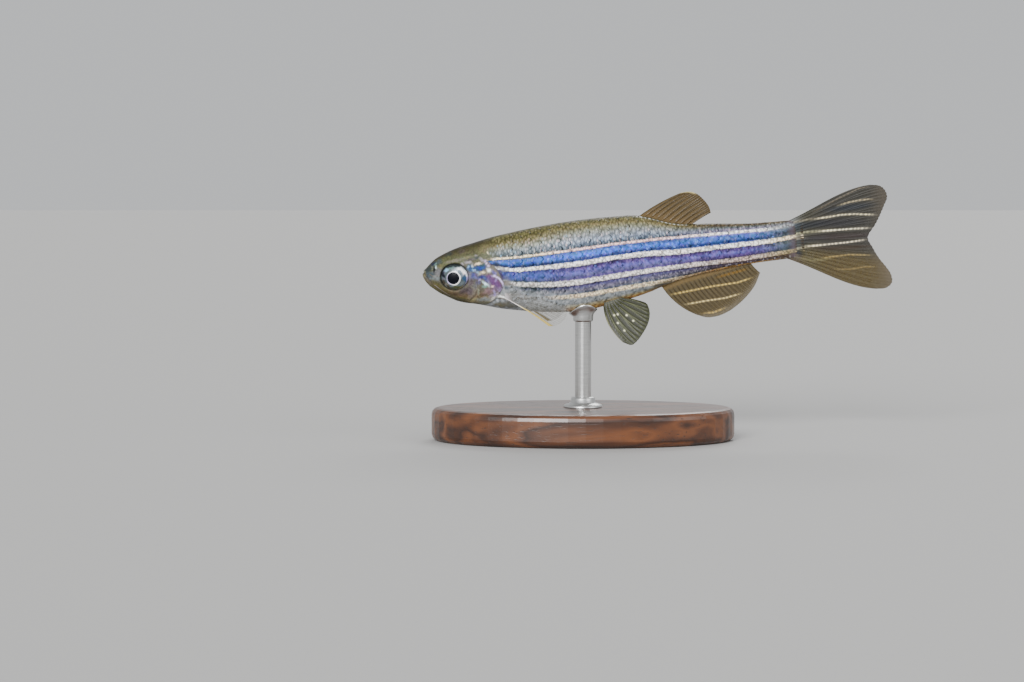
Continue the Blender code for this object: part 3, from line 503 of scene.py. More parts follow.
def closed_tube(rings):
    """The points and faces of a tube of rings, with a fan at each end onto one more point."""
    count, sides = rings.shape[:2]
    first = np.arange(sides)
    second = np.roll(first, -1)
    down = np.arange(count - 1)[:, None] * sides
    end = (count - 1) * sides
    wall = np.stack([down + first, down + sides + first, down + sides + second, down + second], -1)
    start_fan = np.stack([np.full(sides, count * sides), first, second], -1)
    end_fan = np.stack([np.full(sides, count * sides + 1), end + second, end + first], -1)
    points = np.concatenate([rings.reshape(-1, 3), rings[:1].mean(1), rings[-1:].mean(1)])
    return points, [wall.reshape(-1, 4), start_fan, end_fan]


def swelling(distance, breadth):
    """A smooth hump, 1 high, at distance 0."""
    return np.exp(-((distance / breadth) ** 2))


def eye_distance(x, z):
    """Distance from the eye's middle, with heights stretched so that the oval eye counts as round."""
    return np.hypot(x - EYE_PLACE[0], (z - EYE_PLACE[1]) * EYE_RADIUS / EYE_RADIUS_UP)


def gill_reach(x, z):
    """Distance in front of the gill cover's rear edge, negative behind it."""
    edge = np.array(GILL_EDGE)[::-1]
    edge_x = np.interp(z, edge[1:, 1], edge[1:, 0])
    return np.where(x < edge_x, 1, -1) * line_distance(x, z, GILL_EDGE)


def head_relief(x, z):
    """How far the head's skin stands out from, or sinks into, the plain body.

    The sum of the mouth's groove and lips, the nostril pits, the socket round the eye, the grooves between
    the cheek's plates, the raised gill cover with the step behind it, and the pores of the head."""
    mouth = line_distance(x, z, MOUTH_LINE)
    relief = 0.045 * swelling(mouth - 0.20, 0.14) - 0.08 * swelling(mouth, 0.05)
    relief += 0.045 * spot(x, z, *JAW_PLATE)
    for place, height, stretch, depth, breadth in NOSTRIL:
        relief -= depth * swelling(np.hypot((x - place) * stretch, z - height), breadth)
    eye = eye_distance(x, z) - EYE_RADIUS
    relief -= 0.30 * ease(eye, 0.14, -0.04)
    relief += 0.03 * swelling(eye - 0.20, 0.14)
    relief -= 0.012 * swelling(eye - 0.52, 0.08) * ease(-z, 0.2, 1.2)
    relief += 0.020 * swelling(line_distance(x, z, CHEEK_GROOVE) - 0.22, 0.14)
    for line, depth, breadth in GROOVES:
        relief -= depth * swelling(line_distance(x, z, line), breadth)
    inside = gill_reach(x, z)
    rim = ease(-z, -0.75, -0.35) * ease(z - section(x)[1], 0.10, 0.55)
    plate = ease(inside, -0.01, 0.07) * ease(inside, 2.0, 0.5)
    relief += rim * (GILL_STEP * plate - 0.05 * swelling(inside + 0.10, 0.13))
    for place, height, breadth in PORES:
        relief -= PORE_DEPTH * swelling(np.hypot(x - place, z - height), breadth)
    return relief


def marking_step(x, z):
    """How far down the flank a place lies: 0 on the ridge, whole numbers on the pale lines, 5 below.

    Between the edges of the pale lines it runs straight with height, so each line keeps its own width."""
    back, belly, level, width = section(x)
    tops = [back]
    steps = [0.0]
    for column in (1, 2, 3, 4):
        middle, half = smooth(x, PALE_LINES, column), smooth(x, LINE_HALF_WIDTHS, column)
        tops += [middle + half, middle - half]
        steps += [column - LINE_SPAN, column + LINE_SPAN]
    tops.append(np.minimum(belly, tops[-1] - 0.12))
    steps.append(PLAN_END)
    total = np.zeros(np.broadcast(x, z).shape)
    for top, below, start, end in zip(tops, tops[1:], steps, steps[1:]):
        total += (end - start) * np.clip((top - z) / np.maximum(top - below, 0.02), 0, 1)
    return total


def body_paint(points, down):
    """The attributes that the coat's finish reads at each point.

    The face's colour with its cover, the place in millimetres, the markings and the skin unrolled flat.
    The markings are the step down the flank, how far the plain silver of the shoulder covers the lines
    that start further back, and the share of the body's depth below the ridge. Unrolled, a point lies at
    its place and its distance down from the ridge."""
    x, y, z = points.T
    back, belly, level, width = section(x)
    depth = np.clip((back - z) / np.maximum(back - belly, 0.05), 0, 1)
    paint = blended(depth, *zip(*FACE_BASE))
    # The face's tables bring painted shade in the nostril's pit and along the grooves, and a painted
    # highlight on the nostril's flap.
    brush_tables(paint, x, z, FACE_SPOTS, FACE_STROKES)
    # Painted shade in the socket's rim round the eye: darkest on the snout's side and above, lightest behind.
    shaded = 0.45 - 0.35 * np.cos(np.arctan2(z - EYE_PLACE[1], x - EYE_PLACE[0]) + 0.5)
    brush(paint, shaded * (1 - ease(eye_distance(x, z) - EYE_RADIUS, 0.02, 0.12)), "shade black")
    inside = gill_reach(x, z)
    near, high = ragged(x, z)
    # These masks, with the painted shade behind the belly fins among them, also set how far the face's paint
    # covers the flank.
    shoulder = np.zeros(x.shape)
    for *shape, strength, colour in SHOULDER_SPOTS:
        mask = strength * spot(near, high, *shape) * np.where(z > 0.3, 1, ease(-inside, -0.02, 0.06))
        brush(paint, mask, colour)
        shoulder = np.maximum(shoulder, mask)
    base = 0.95 * stroke(x, z, FIN_BASE, 0.085)
    brush(paint, base, "white")
    behind = np.where(z > GILL_TOP, ease(x, 6.0 - 0.3 * z, 7.8 - 0.2 * z), ease(-inside, -0.03, 0.08))
    behind = np.where(x > 9, 1, np.where(x < 4.5, 0, behind))
    cover = np.maximum(1 - behind, np.maximum(shoulder, base))
    step = marking_step(x, z)
    begun = np.interp(step, *zip(*FLANK_STARTS))
    silver = ease(x, begun + 1.1, begun) * ease(step, 2.62, 2.9)
    marks = np.stack([step, silver, depth], -1)
    unrolled = np.stack([x, down, y], -1)
    return {"face": to_linear(paint, cover), "fish_mm": points, "marks": marks, "unrolled": unrolled}


class Value:
    """An output of a shader node. Arithmetic with it adds a Math node to its tree."""

    def __init__(self, socket):
        self.socket = socket

    def maths(self, operation, *others, clamp=False):
        """One step of arithmetic with numbers or other outputs."""
        sockets = dict(enumerate((self, *others)))
        return node("Math", sockets, operation=operation, use_clamp=clamp)[0]

    def __add__(self, other):
        return self.maths("ADD", other)

    def __sub__(self, other):
        return self.maths("SUBTRACT", other)

    def __mul__(self, other):
        return self.maths("MULTIPLY", other)


def set_sockets(made, sockets):
    """Sets each input of a node to a value, or links it to another node's output."""
    for socket, value in sockets.items():
        if isinstance(value, Value):
            made.id_data.links.new(value.socket, made.inputs[socket])
        else:
            made.inputs[socket].default_value = value


def node(kind, sockets, tree=None, **options):
    """Adds a node to the given tree, or to the tree of its first linked input, and gives its outputs."""
    tree = tree or next(value.socket.id_data for value in sockets.values() if isinstance(value, Value))
    made = tree.nodes.new("ShaderNode" + kind)
    for option, choice in options.items():
        setattr(made, option, choice)
    set_sockets(made, sockets)
    return [Value(output) for output in made.outputs]


def read(tree, label):
    """An attribute of the mesh as a colour, a vector and the colour's cover."""
    colour, vector, _, cover = node("Attribute", {}, tree, attribute_name=label)
    return colour, vector, cover


def parts(vector):
    """The three numbers of a vector."""
    return node("SeparateXYZ", {0: vector})


def overlay(share, below, above, kind="MIX"):
    """The colour above laid over the colour below."""
    return node("Mix", {0: share, 6: below, 7: above}, data_type="RGBA", blend_type=kind)[2]


def fade(value, start, end, low=0.0, high=1.0):
    """Eases from low to high while the value goes from start to end."""
    sockets = {"Value": value, "From Min": start, "From Max": end, "To Min": low, "To Max": high}
    return node("MapRange", sockets, interpolation_type="SMOOTHSTEP")[0]


def grain(place, scale, detail=2.0):
    """Soft noise from 0 to 1."""
    return node("TexNoise", {"Vector": place, "Scale": scale, "Detail": detail})[0]


def lively(colour, value, hue=0.5):
    """The colour with its brightness scaled, and its hue shifted where it isn't 0.5."""
    return node("HueSaturation", {"Hue": hue, "Value": value, "Color": colour})[0]


def bump(height, strength, distance):
    """The normal over fine relief."""
    return node("Bump", {"Strength": strength, "Distance": distance, "Height": height})[0]


def cells(place, scale, stretch=1.0, tilt=0.0):
    """Flat cells, so many to a millimetre: the distance from each one's middle, and three chances."""
    turned = node("Mapping", {"Vector": place, "Rotation": (0, 0, tilt), "Scale": (1.0, stretch, 0.0)})[0]
    gap, chances = node("TexVoronoi", {"Vector": turned, "Scale": scale}, voronoi_dimensions="2D")[:2]
    return gap, node("SeparateColor", {0: chances})


def ramp(value, stops):
    """A colour ramp through places from 0 to 1 and paints."""
    made = node("ValToRGB", {"Fac": value})[0]
    elements = made.socket.node.color_ramp.elements
    for k, (place, colour) in enumerate(stops):
        stop = elements[k] if k < 2 else elements.new(place)
        stop.position = place
        stop.color = tone(colour)
    return made


def flank_ramps(step, column):
    """One column of the plan as two ramps, down to the split and below it, since a ramp holds 32 colours."""
    rest = PLAN_END - RAMP_SPLIT
    upper = [(row[0] / RAMP_SPLIT, row[column]) for row in FLANK_PLAN if row[0] <= RAMP_SPLIT]
    lower = [((row[0] - RAMP_SPLIT) / rest, row[column]) for row in FLANK_PLAN if row[0] >= RAMP_SPLIT]
    above = ramp(step.maths("DIVIDE", RAMP_SPLIT, clamp=True), upper)
    below = ramp((step - RAMP_SPLIT).maths("DIVIDE", rest, clamp=True), lower)
    return overlay(step.maths("GREATER_THAN", RAMP_SPLIT), above, below)


def flank_tone(x, step):
    """The flank's plain paint at places and steps: the same plan, with the columns eased into each other."""
    steps, first, *others = zip(*FLANK_PLAN)
    shown = blended(step, steps, first)
    for names, (start, end) in zip(others, PLAN_JOINS):
        shown += ease(x, start, end)[..., None] * (blended(step, steps, names) - shown)
    return shown


def coat_finish(name, scaly):
    """Painted fish skin: the markings in a soft mosaic of cells, beads on the pale lines, upright flecks
    on the upper flank, dark dots on the back, and on the scales a thin rim. A clear coat keeps it moist."""
    finish, tree, shader = new_finish(name)
    face, _, on_face = read(tree, "face")
    place = read(tree, "fish_mm")[1]
    unrolled = read(tree, "unrolled")[1]
    along, down, _ = parts(unrolled)
    step, bare, depth = parts(read(tree, "marks")[1])

    step = step + (grain(place, 2.2) * 0.12 - 0.06) + (grain(place, 7.0) * 0.16 - 0.08)
    flank = flank_ramps(step, 1)
    for column, (start, end) in enumerate(PLAN_JOINS, 2):
        flank = overlay(fade(along, start, end), flank, flank_ramps(step, column))
    silver = overlay(fade(grain(place, 1.6, 3.0), 0.35, 0.65), tone("silver"), tone("pale silver"))
    flank = overlay(bare, flank, silver)

    bead_gap, bead = cells(unrolled, BEADS_PER_MM)
    fleck_gap, fleck = cells(unrolled, FLECKS_PER_MM, 0.52, 0.16)
    star_gap, star = cells(unrolled, STARS_PER_MM)
    soft = grain(place, 3.4, 3.0)
    from_line = (step - step.maths("ROUND")).maths("ABSOLUTE")
    on_line = fade(from_line, 0.17, 0.10) * fade(step, 0.6, 0.8)
    in_band = fade(from_line, 0.19, 0.27) * fade(step, 1.0, 1.1) * fade(step, 3.9, 3.7)
    in_band = in_band * fade(along, 33.8, 32.6)
    on_shoulder = fade(step, 0.26, 0.46) * fade(step, 0.92, 0.84)
    on_belly = fade(step, 3.25, 3.5) * fade(step, 4.7, 4.3)

    glow = soft * 1.5 + grain(place, 0.9) * 0.6 + bead[2] * 0.7 - 0.4
    upright = fade(fleck_gap, 0.60, 0.14) * 0.78 + fleck[0] * 0.5 + 0.33
    glow = glow + fade(step, 0.90, 0.80) * 0.85 * (upright - glow)
    pearl = fade(bead_gap, 0.62, 0.16) * 0.62 + bead[0] * 0.34 + 0.46
    glow = glow + on_line * (pearl - glow)
    flank = lively(flank, glow, soft * 0.10 + 0.45)
    warm = overlay(bead[1], (1.0, 0.86, 0.80, 1), (0.93, 0.98, 1.0, 1))
    flank = overlay(on_line * 0.75, flank, overlay(1.0, flank, warm, "MULTIPLY"))
    flank = overlay(on_line * fade(bead_gap, 0.36, 0.62) * 0.34, flank, tone("stone"))

    stars = fade(star_gap, 0.22, 0.08) * fade(star[0], 0.35, 0.55) * in_band
    flank = overlay(stars * fade(step, 2.6, 1.9, 0.05, 0.6), flank, tone("pale blue"))
    flecks = fade(fleck_gap, 0.52, 0.16) * fade(fleck[2], 0.25, 0.85)
    tints = ((0.0, "sea mist"), (0.3, "pink pearl"), (0.6, "pale silver"), (0.8, "pearl"), (1.0, "ice blue"))
    flank = overlay(flecks * on_shoulder * 0.36, flank, ramp(fleck[1], tints))
    flank = overlay(flecks * on_belly * 0.25, flank, tone("pearl"))
    flank = overlay(flecks * in_band * 0.10, flank, tone("pale lilac"))
    flank = overlay(flecks * fade(step, 0.42, 0.20) * 0.32, flank, tone("sand"))
    into_fin = overlay(fade(along, 34.0, 34.7), tone("mauve grey"), tone("umber"))
    flank = overlay(fade(along, 33.4, 34.5) * (on_line * -0.45 + 0.92), flank, into_fin)
    if scaly:
        edge, _, chance = parts(read(tree, "scale_place")[1])
        rim = fade(edge, 0.84, 1.0) * fade(step, 1.0, 0.75, 0.06, 0.28)
        flank = lively(overlay(rim, flank, tone("slate")), chance * 0.14 + 0.93)

    mottle = grain(place, 6.5, 4.0) * 1.5 + bead[0] * 0.26 + 0.12
    colour = overlay(on_face, flank, lively(face, mottle, grain(place, 4.0) * 0.14 + 0.43))
    freckles = fade(fleck_gap, 0.40, 0.16) * fade(fleck[1], 0.45, 0.8) * fade(depth, 0.22, 0.10)
    colour = overlay(freckles * 0.32, colour, tone("bark"))
    row = fade((along * (2 * math.pi / RIDGE_BEAD_STEP)).maths("SINE"), -0.3, 0.8, 0.15, 0.75)
    row = row * fade(down, 0.30, 0.42) * fade(down, 0.62, 0.50)
    row = row * fade(along, 19.4, 20.2) * fade(along, 24.8, 24.2)
    row = row * (soft * 1.6).maths("SUBTRACT", 0.35, clamp=True)

    plain = on_face * -1.0 + 1.0
    height = pearl * on_line * plain * 1.2 + grain(place, 15.0) + flecks * plain * 0.8
    shader.inputs["Base Color"].default_value = (0.4, 0.4, 0.4, 1)
    set_sockets(shader, {
        "Base Color": overlay(row, colour, tone("white")),
        "Metallic": (in_band * 0.22 + on_shoulder * 0.12 + 0.06) * plain,
        "Roughness": on_face * 0.12 + bead[2] * 0.16 + 0.32,
        "Specular IOR Level": 0.13,
        "Coat Weight": 0.03,
        "Coat Roughness": 0.14,
        "Normal": bump(height, 0.5, BUMP_DISTANCE),
    })
    return finish


tip_places = SNOUT_TIP_REACH * (np.arange(1, SNOUT_STATIONS + 1) / SNOUT_STATIONS) ** 2
end_places = TAIL_END + TAIL_CLOSING * np.linspace(0.06, 1.0, END_STATIONS)
skin_x = np.concatenate([tip_places, np.arange(*HEAD_STATIONS), np.arange(*FLANK_STATIONS), end_places])
skin_turn = np.arange(SKIN_SIDES) * 2 * math.pi / SKIN_SIDES
skin = body_points(skin_x[:, None], skin_turn[None, :], -COAT_DEPTH * ease(skin_x, 6.4, 8.4)[:, None])
skin += outward(skin) * head_relief(skin[..., 0], skin[..., 2])[..., None]
ridge = SKIN_SIDES // 4
half_turn = SKIN_SIDES // 2
half_round = walked(skin[:, ridge : ridge + half_turn + 1])
turns_off = np.abs((np.arange(SKIN_SIDES) - ridge + half_turn) % SKIN_SIDES - half_turn)
skin_points, skin_faces = closed_tube(skin)
skin_points[-2, 0] -= 0.01
skin_paint = body_paint(skin_points, np.append(half_round[:, turns_off], (0, 0)))
body = make_piece("skin", posed(skin_points), skin_faces, coat_finish("danio_skin", False), skin_paint)
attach(body, "root")
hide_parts("head", "trunk", "tail", "gill_cover_left", "gill_cover_right")

# The scales. Thin round plates of bone in slanting rows, each rooted under the one before it and lapping
# the one behind, from the gill covers and the nape to the root of the tail fin.
SCALE_COLUMN_STEP = 0.90
SCALE_ROW_STEP = 0.78
SCALE_ROWS = 12  # the most on either side of the second pale line
SCALE_LENGTH = 1.50
SCALE_HALF_BREADTH = 0.50
SCALE_START = 6.1
SCALE_END = 32.2
SCALE_GRID = 9
ROOT_SINK = 0.036
TIP_LIFT = 0.008
COAT_STATIONS = 320
COAT_ROUND = 260
COAT_PAST = 0.6  # of the coat's table, in millimetres before its start and in radians past ridge and keel
FLAT_SIZE = (36, 12)  # length and depth of one side on the flat plan
PATCH = 0.003  # breadth of a scale's own patch on it


def coat_surface(side):
    """The body one coat's depth down, as a table over place and distance round it from the ridge.

    The distance is summed along each section from the ridge down one side, and a little past both ends.
    With it come the distances of the keel and of the second pale line at each place."""
    x = np.linspace(SCALE_START - COAT_PAST, TAIL_END + TAIL_CLOSING, COAT_STATIONS)
    angle = np.linspace(-COAT_PAST, math.pi + COAT_PAST, COAT_ROUND)
    points = body_points(x[:, None], math.pi / 2 - side * angle[None, :], -COAT_DEPTH)
    gone = walked(points)
    gone -= np.array([np.interp(0, angle, row) for row in gone])[:, None]
    keel = np.array([np.interp(math.pi, angle, row) for row in gone])
    flank = slice(COAT_ROUND // 8, -COAT_ROUND // 8)
    fall, far, depth = -points[:, flank, 2], gone[:, flank], -smooth(x, PALE_LINES, 2)
    line = np.array([np.interp(depth[k], fall[k], far[k]) for k in range(COAT_STATIONS)])
    return x, points, gone, keel, line


def on_coat(surface, x, down):
    """The point and the normal of the coat's surface at each place x and distance down from the ridge."""
    stations, points, gone = surface[:3]
    normals = outward(points, False)
    normals *= np.sign((normals * (points - points.mean(1, keepdims=True))).sum((1, 2)))[:, None, None]
    both = np.concatenate([points, normals], -1)
    at = np.clip(np.interp(x, stations, np.arange(COAT_STATIONS)), 0, COAT_STATIONS - 1.001)
    low = at.astype(int)
    found = np.empty((2, *x.shape, 6))
    for picked, station in zip(found, (low, low + 1)):
        for index in np.unique(station):
            here = station == index
            along = np.interp(down[here], gone[index], np.arange(COAT_ROUND))
            base = np.minimum(along.astype(int), COAT_ROUND - 2)
            part = (along - base)[:, None]
            picked[here] = both[index, base] * (1 - part) + both[index, base + 1] * part
    share = (at - low)[..., None]
    joined = found[0] * (1 - share) + found[1] * share
    return joined[..., :3], joined[..., 3:]


def rim_of(rows, columns):
    """The points round the edge of a grid, in order."""
    index = np.arange(rows * columns).reshape(rows, columns)
    return np.concatenate([index[0, :-1], index[:-1, -1], index[-1, :0:-1], index[:0:-1, 0]])


def scale_roots(surface, draw):
    """The place and the row's distance from the second pale line of each scale behind the gill cover."""
    stations, _, _, keel, line = surface
    roots = []
    for number, column in enumerate(np.arange(SCALE_START, SCALE_END, SCALE_COLUMN_STEP)):
        middle, total = (np.interp(column + 0.6 * SCALE_LENGTH, stations, row) for row in (line, keel))
        offsets = (np.arange(-SCALE_ROWS, SCALE_ROWS + 1) + 0.5 * (number % 2)) * SCALE_ROW_STEP
        inside = (middle + offsets > 0.10) & (middle + offsets < total - 0.10)
        roots += [(column, offset) for offset in offsets[inside]]
    roots = np.array(roots)
    roots[:, 0] += draw.uniform(-0.03, 0.03, len(roots))
    down = np.interp(roots[:, 0], stations, line) + roots[:, 1]
    middles = on_coat(surface, roots[:, 0] + 0.75 * SCALE_LENGTH, down)[0]
    behind = -gill_reach(middles[:, 0], middles[:, 2])
    return roots[np.where(middles[:, 2] > GILL_TOP, roots[:, 0] > 6.0, behind > 0.42)]


def lay_scales(side, name, seed):
    """All the scales of one side as one mesh.

    A scale is a grid over its length and breadth. Its outline is a rounded shield, its root sinks under
    the scale before it, its tip stands a little clear, and a low cone of faces closes it underneath."""
    surface = coat_surface(side)
    stations, line = surface[0], surface[4]
    draw = np.random.default_rng(seed)
    roots = scale_roots(surface, draw)
    start, offset = roots.T[..., None, None]
    count = len(roots)
    a, b = np.meshgrid(np.linspace(0, 1, SCALE_GRID), np.linspace(-1, 1, SCALE_GRID), indexing="ij")
    breadth = SCALE_HALF_BREADTH * (1 - 0.30 * (2 * a - 0.9) ** 2) * b
    length = SCALE_LENGTH * a * (1 - 0.30 * b * b * a)
    size = draw.uniform(0.95, 1.04, (count, 1, 1))
    x = start + length * size
    down = np.interp(x, stations, line) + offset + breadth * size
    base, normal = on_coat(surface, x, down)
    lift = -ROOT_SINK + (ROOT_SINK + TIP_LIFT) * a + 0.006 * (1 - b * b) - 0.020 * np.abs(b) ** 3
    lift = lift * ease(x, 33.2, 30.5) - 0.03 * ease(x, 32.6, 33.6)
    top = base + normal * lift[..., None]
    mid = (slice(None), SCALE_GRID // 2, SCALE_GRID // 2)
    under = base[mid] + normal[mid] * (lift[mid] - 0.045)[:, None]

    per = SCALE_GRID**2
    points = np.concatenate([top.reshape(count, per, 3), under[:, None]], 1).reshape(-1, 3)
    starts = (np.arange(count) * (per + 1))[:, None, None]
    rim = rim_of(SCALE_GRID, SCALE_GRID)
    lid = (grid_faces(SCALE_GRID, SCALE_GRID) + starts).reshape(-1, 4)
    floor = (np.stack([rim, np.roll(rim, -1), np.full(len(rim), per)], -1) + starts).reshape(-1, 3)
    edge = np.maximum(a, np.abs(b) * ease(a, 0.3, 0.7))
    plan = np.append(np.stack([edge, a, b / 2 + 0.5], -1).reshape(per, 3), np.full((1, 3), 0.5), 0)
    fallen = np.append(down.reshape(count, per), down[mid][:, None], 1).ravel()
    attributes = body_paint(points, fallen)
    chance = draw.random((count, 1))
    attributes["scale_place"] = np.stack(np.broadcast_arrays(plan[:, 0], 0.0, chance), -1)
    piece = make_piece(name, posed(points), [lid, floor], coat_finish(name + "_finish", True), attributes)
    piece.data.polygons.foreach_set("use_smooth", np.arange(len(lid) + len(floor)) < len(lid))

    home = np.stack([roots[:, 0], np.interp(roots[:, 0], stations, line) + roots[:, 1]], -1) / FLAT_SIZE
    spread = (home[:, None] + PATCH * plan[:, 1:]).reshape(-1, 2)
    corner = np.empty(len(piece.data.loops), np.int32)
    piece.data.loops.foreach_get("vertex_index", corner)
    piece.data.uv_layers.new(name="OFBake").data.foreach_set("uv", spread[corner].ravel())
    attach(piece, "root")


lay_scales(-1, "scales_left", 11)
lay_scales(1, "scales_right", 12)

# The eyes. Each is a wet ball, nearly flush with the head: a black pupil in a bright silver ring, and an
# iris of silver with steel-blue blotches. It is cast as one piece and sits in its socket.
EYE_HALF_DEPTH = 0.58
EYE_SIDE = 1.36
EYE_TILT = 0.15
PUPIL_PLACE = (2.80, -0.76)
PUPIL_RADIUS = 0.53
RING_RADIUS = 0.64
DOME_HEIGHT = 0.035
DOME_MOAT = 0.020
EYE_FRONT_RINGS = 94
EYE_BACK_RINGS = 16
EYE_SPOKES = 144
IRIS_SPOTS = (  # place, height, reach back, reach up, tilt if any, strength, paint
    (2.86, 0.36, 0.8, 0.12, 2, 0.85, "lead"), (2.62, 0.16, 0.3, 0.1, 0.6, "sea mist"),
    (2.2, 0.02, 0.26, 0.1, 32, 0.95, "ice blue"), (3.14, -0.1, 0.18, 0.12, -20, 0.8, "blue silver"),
    # The pale silver, white and pink pearl spots at the upper right are a painted highlight.
    (3.1, 0.16, 0.22, 0.1, -10, 0.7, "cool grey"), (3.74, 0.14, 0.22, 0.14, -40, 0.85, "pale silver"),
    (3.52, 0.0, 0.34, 0.15, -28, 1.0, "white"), (3.82, -0.26, 0.24, 0.24, -40, 1.0, "white"),
    (3.84, -0.3, 0.14, 0.18, -40, 0.7, "pink pearl"), (3.46, -0.28, 0.14, 0.12, 20, 0.8, "blue silver"),
    (3.6, -0.56, 0.18, 0.16, 10, 0.8, "blue silver"), (3.84, -0.94, 0.2, 0.3, 0.9, "steel blue"),
    (3.6, -1.3, 0.2, 0.2, -26, 0.85, "cool grey"), (2.9, -1.5, 0.56, 0.1, 4, 0.8, "cool grey"),
    (2.8, -1.64, 0.62, 0.12, 4, 0.95, "moss"), (2.55, -1.66, 0.24, 0.08, -10, 0.7, "lead"),
    (3.42, -1.66, 0.28, 0.09, 20, 0.85, "sand"), (1.9, -0.4, 0.14, 0.26, 0.9, "ink"),
    (2.04, -0.22, 0.1, 0.12, 0.6, "lilac grey"), (1.9, -0.74, 0.12, 0.12, 0.75, "lilac grey"),
    (1.88, -1.06, 0.18, 0.2, 14, 0.85, "umber"), (2.14, -1.3, 0.2, 0.18, -40, 0.75, "warm grey"),
    (2.26, -1.54, 0.22, 0.11, -40, 0.8, "umber"),
)
IRIS_STROKES = (  # half width, strength, paint, then the line
    (0.065, 1.0, "pale lilac", ((4.0, -0.4), (4.09, -0.8), (4.04, -1.16), (3.9, -1.44), (3.66, -1.68))),
    # The white stroke at the upper right edge is part of the painted highlight.
    (0.045, 1.0, "white", ((3.9, -0.16), (4.03, -0.44), (4.06, -0.66))),
    (0.03, 0.7, "sand", ((2.4, -1.76), (2.9, -1.84), (3.3, -1.8))),
)

eye_finish, tree, shader = new_finish("wet_eye")
iris_colour, _, iris_cover = read(tree, "iris")
eye_flecks = grain(read(tree, "fish_mm")[1], 8.0, 3.0) * 0.70 + 0.65
set_sockets(shader, {
    "Base Color": lively(iris_colour, eye_flecks),
    "Metallic": iris_cover * 0.35,
    "Roughness": iris_cover * -0.10 + 0.42,
    "Specular IOR Level": 0.10,
    "Coat Weight": iris_cover * 0.16 + 0.02,
    "Coat Roughness": 0.03,
})


def iris_paint(x, z, front):
    """The iris with its blotches and painted highlight, the bright ring, the black pupil, painted rim shade
    and the dark back.
    """
    far = np.hypot(x - PUPIL_PLACE[0], z - PUPIL_PLACE[1])
    turn = np.arctan2(z - PUPIL_PLACE[1], x - PUPIL_PLACE[0])
    paint = np.zeros(x.shape + (3,)) + paint_of("pewter")
    brush_tables(paint, x, z, IRIS_SPOTS, IRIS_STROKES)
    ring = RING_RADIUS + 0.035 * np.cos(turn + 0.5) + 0.012 * np.cos(5 * turn)
    bright = ease(far, ring + 0.05, ring - 0.03)
    pupil = ease(far, PUPIL_RADIUS + 0.03, PUPIL_RADIUS - 0.03)
    # How dark the painted shade along the ball's edge is: most towards the snout, least behind.
    shaded = 0.42 - 0.36 * np.cos(np.arctan2(z - EYE_PLACE[1], x - EYE_PLACE[0]) + 0.1)
    brush(paint, bright, "white")
    brush(paint, bright * 0.55 * ease(-np.cos(turn - 0.1), 0.1, 0.9), "lilac")
    brush(paint, 0.8 * ease(far, PUPIL_RADIUS + 0.05, PUPIL_RADIUS), "ink")
    brush(paint, pupil, "black")
    # Painted shade along the ball's edge where it meets the socket, then the same dark over its back.
    brush(paint, shaded * ease(eye_distance(x, z) - EYE_RADIUS, -0.08, -0.01), "shade black")
    brush(paint, 1 - front, "shade black")
    return to_linear(paint, 1 - pupil).reshape(-1, 4)


def make_eye(side, name):
    """An ellipsoid in rings from its outer pole to its inner one, leaning with the cheek as y rises with x,
    and with a low dome over the pupil."""
    halves = (np.linspace(0.012, 0.5, EYE_FRONT_RINGS), np.linspace(0.53, 0.985, EYE_BACK_RINGS))
    lean = math.pi * np.concatenate(halves)[:, None]
    spoke = np.arange(EYE_SPOKES) * 2 * math.pi / EYE_SPOKES
    x = EYE_PLACE[0] + EYE_RADIUS * np.sin(lean) * np.cos(spoke)
    z = EYE_PLACE[1] + EYE_RADIUS_UP * np.sin(lean) * np.sin(spoke)
    front = ease(np.cos(lean) + 0 * x, 0.0, 0.3)
    far = np.hypot(x - PUPIL_PLACE[0], z - PUPIL_PLACE[1])
    moat = DOME_MOAT * swelling(far - PUPIL_RADIUS - 0.02, 0.05)
    dome = DOME_HEIGHT * swelling(far, PUPIL_RADIUS) - moat
    y = EYE_SIDE + EYE_TILT * (x - EYE_PLACE[0]) + EYE_HALF_DEPTH * np.cos(lean) + front * dome
    points, faces = closed_tube(np.stack([x, side * y, z], -1))
    iris = iris_paint(x, z, front)
    attributes = {"iris": np.concatenate([iris, iris[:1], iris[-1:]]), "fish_mm": points}
    piece = make_piece(name, posed(points), faces, eye_finish, attributes)
    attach(piece, "root")
    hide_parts(name.replace("eyeball", "eye"))


make_eye(-1, "eyeball_left")
make_eye(1, "eyeball_right")

# The barbels. Two pairs of soft threads, a short one beside the lip and a longer one from the corner of
# the mouth, which taste what the fish swims over. They trail along the jaw.
BARBEL_LINES = (  # name, root, middle, tip, radius at the root
    ("short_barbel", (0.62, -0.22), (0.95, -0.42), (1.20, -0.72), 0.045),
    ("long_barbel", (0.86, -1.10), (1.62, -1.86), (2.35, -2.36), 0.050),
)
BARBEL_RINGS = 40
BARBEL_SIDES = 12

barbel_finish, tree, shader = new_finish("barbel_skin")
barbel_tone = overlay(grain(read(tree, "fish_mm")[1], 5.0), tone("earth"), tone("warm grey"))
set_sockets(shader, {"Base Color": barbel_tone, "Roughness": 0.42, "Coat Weight": 0.2})


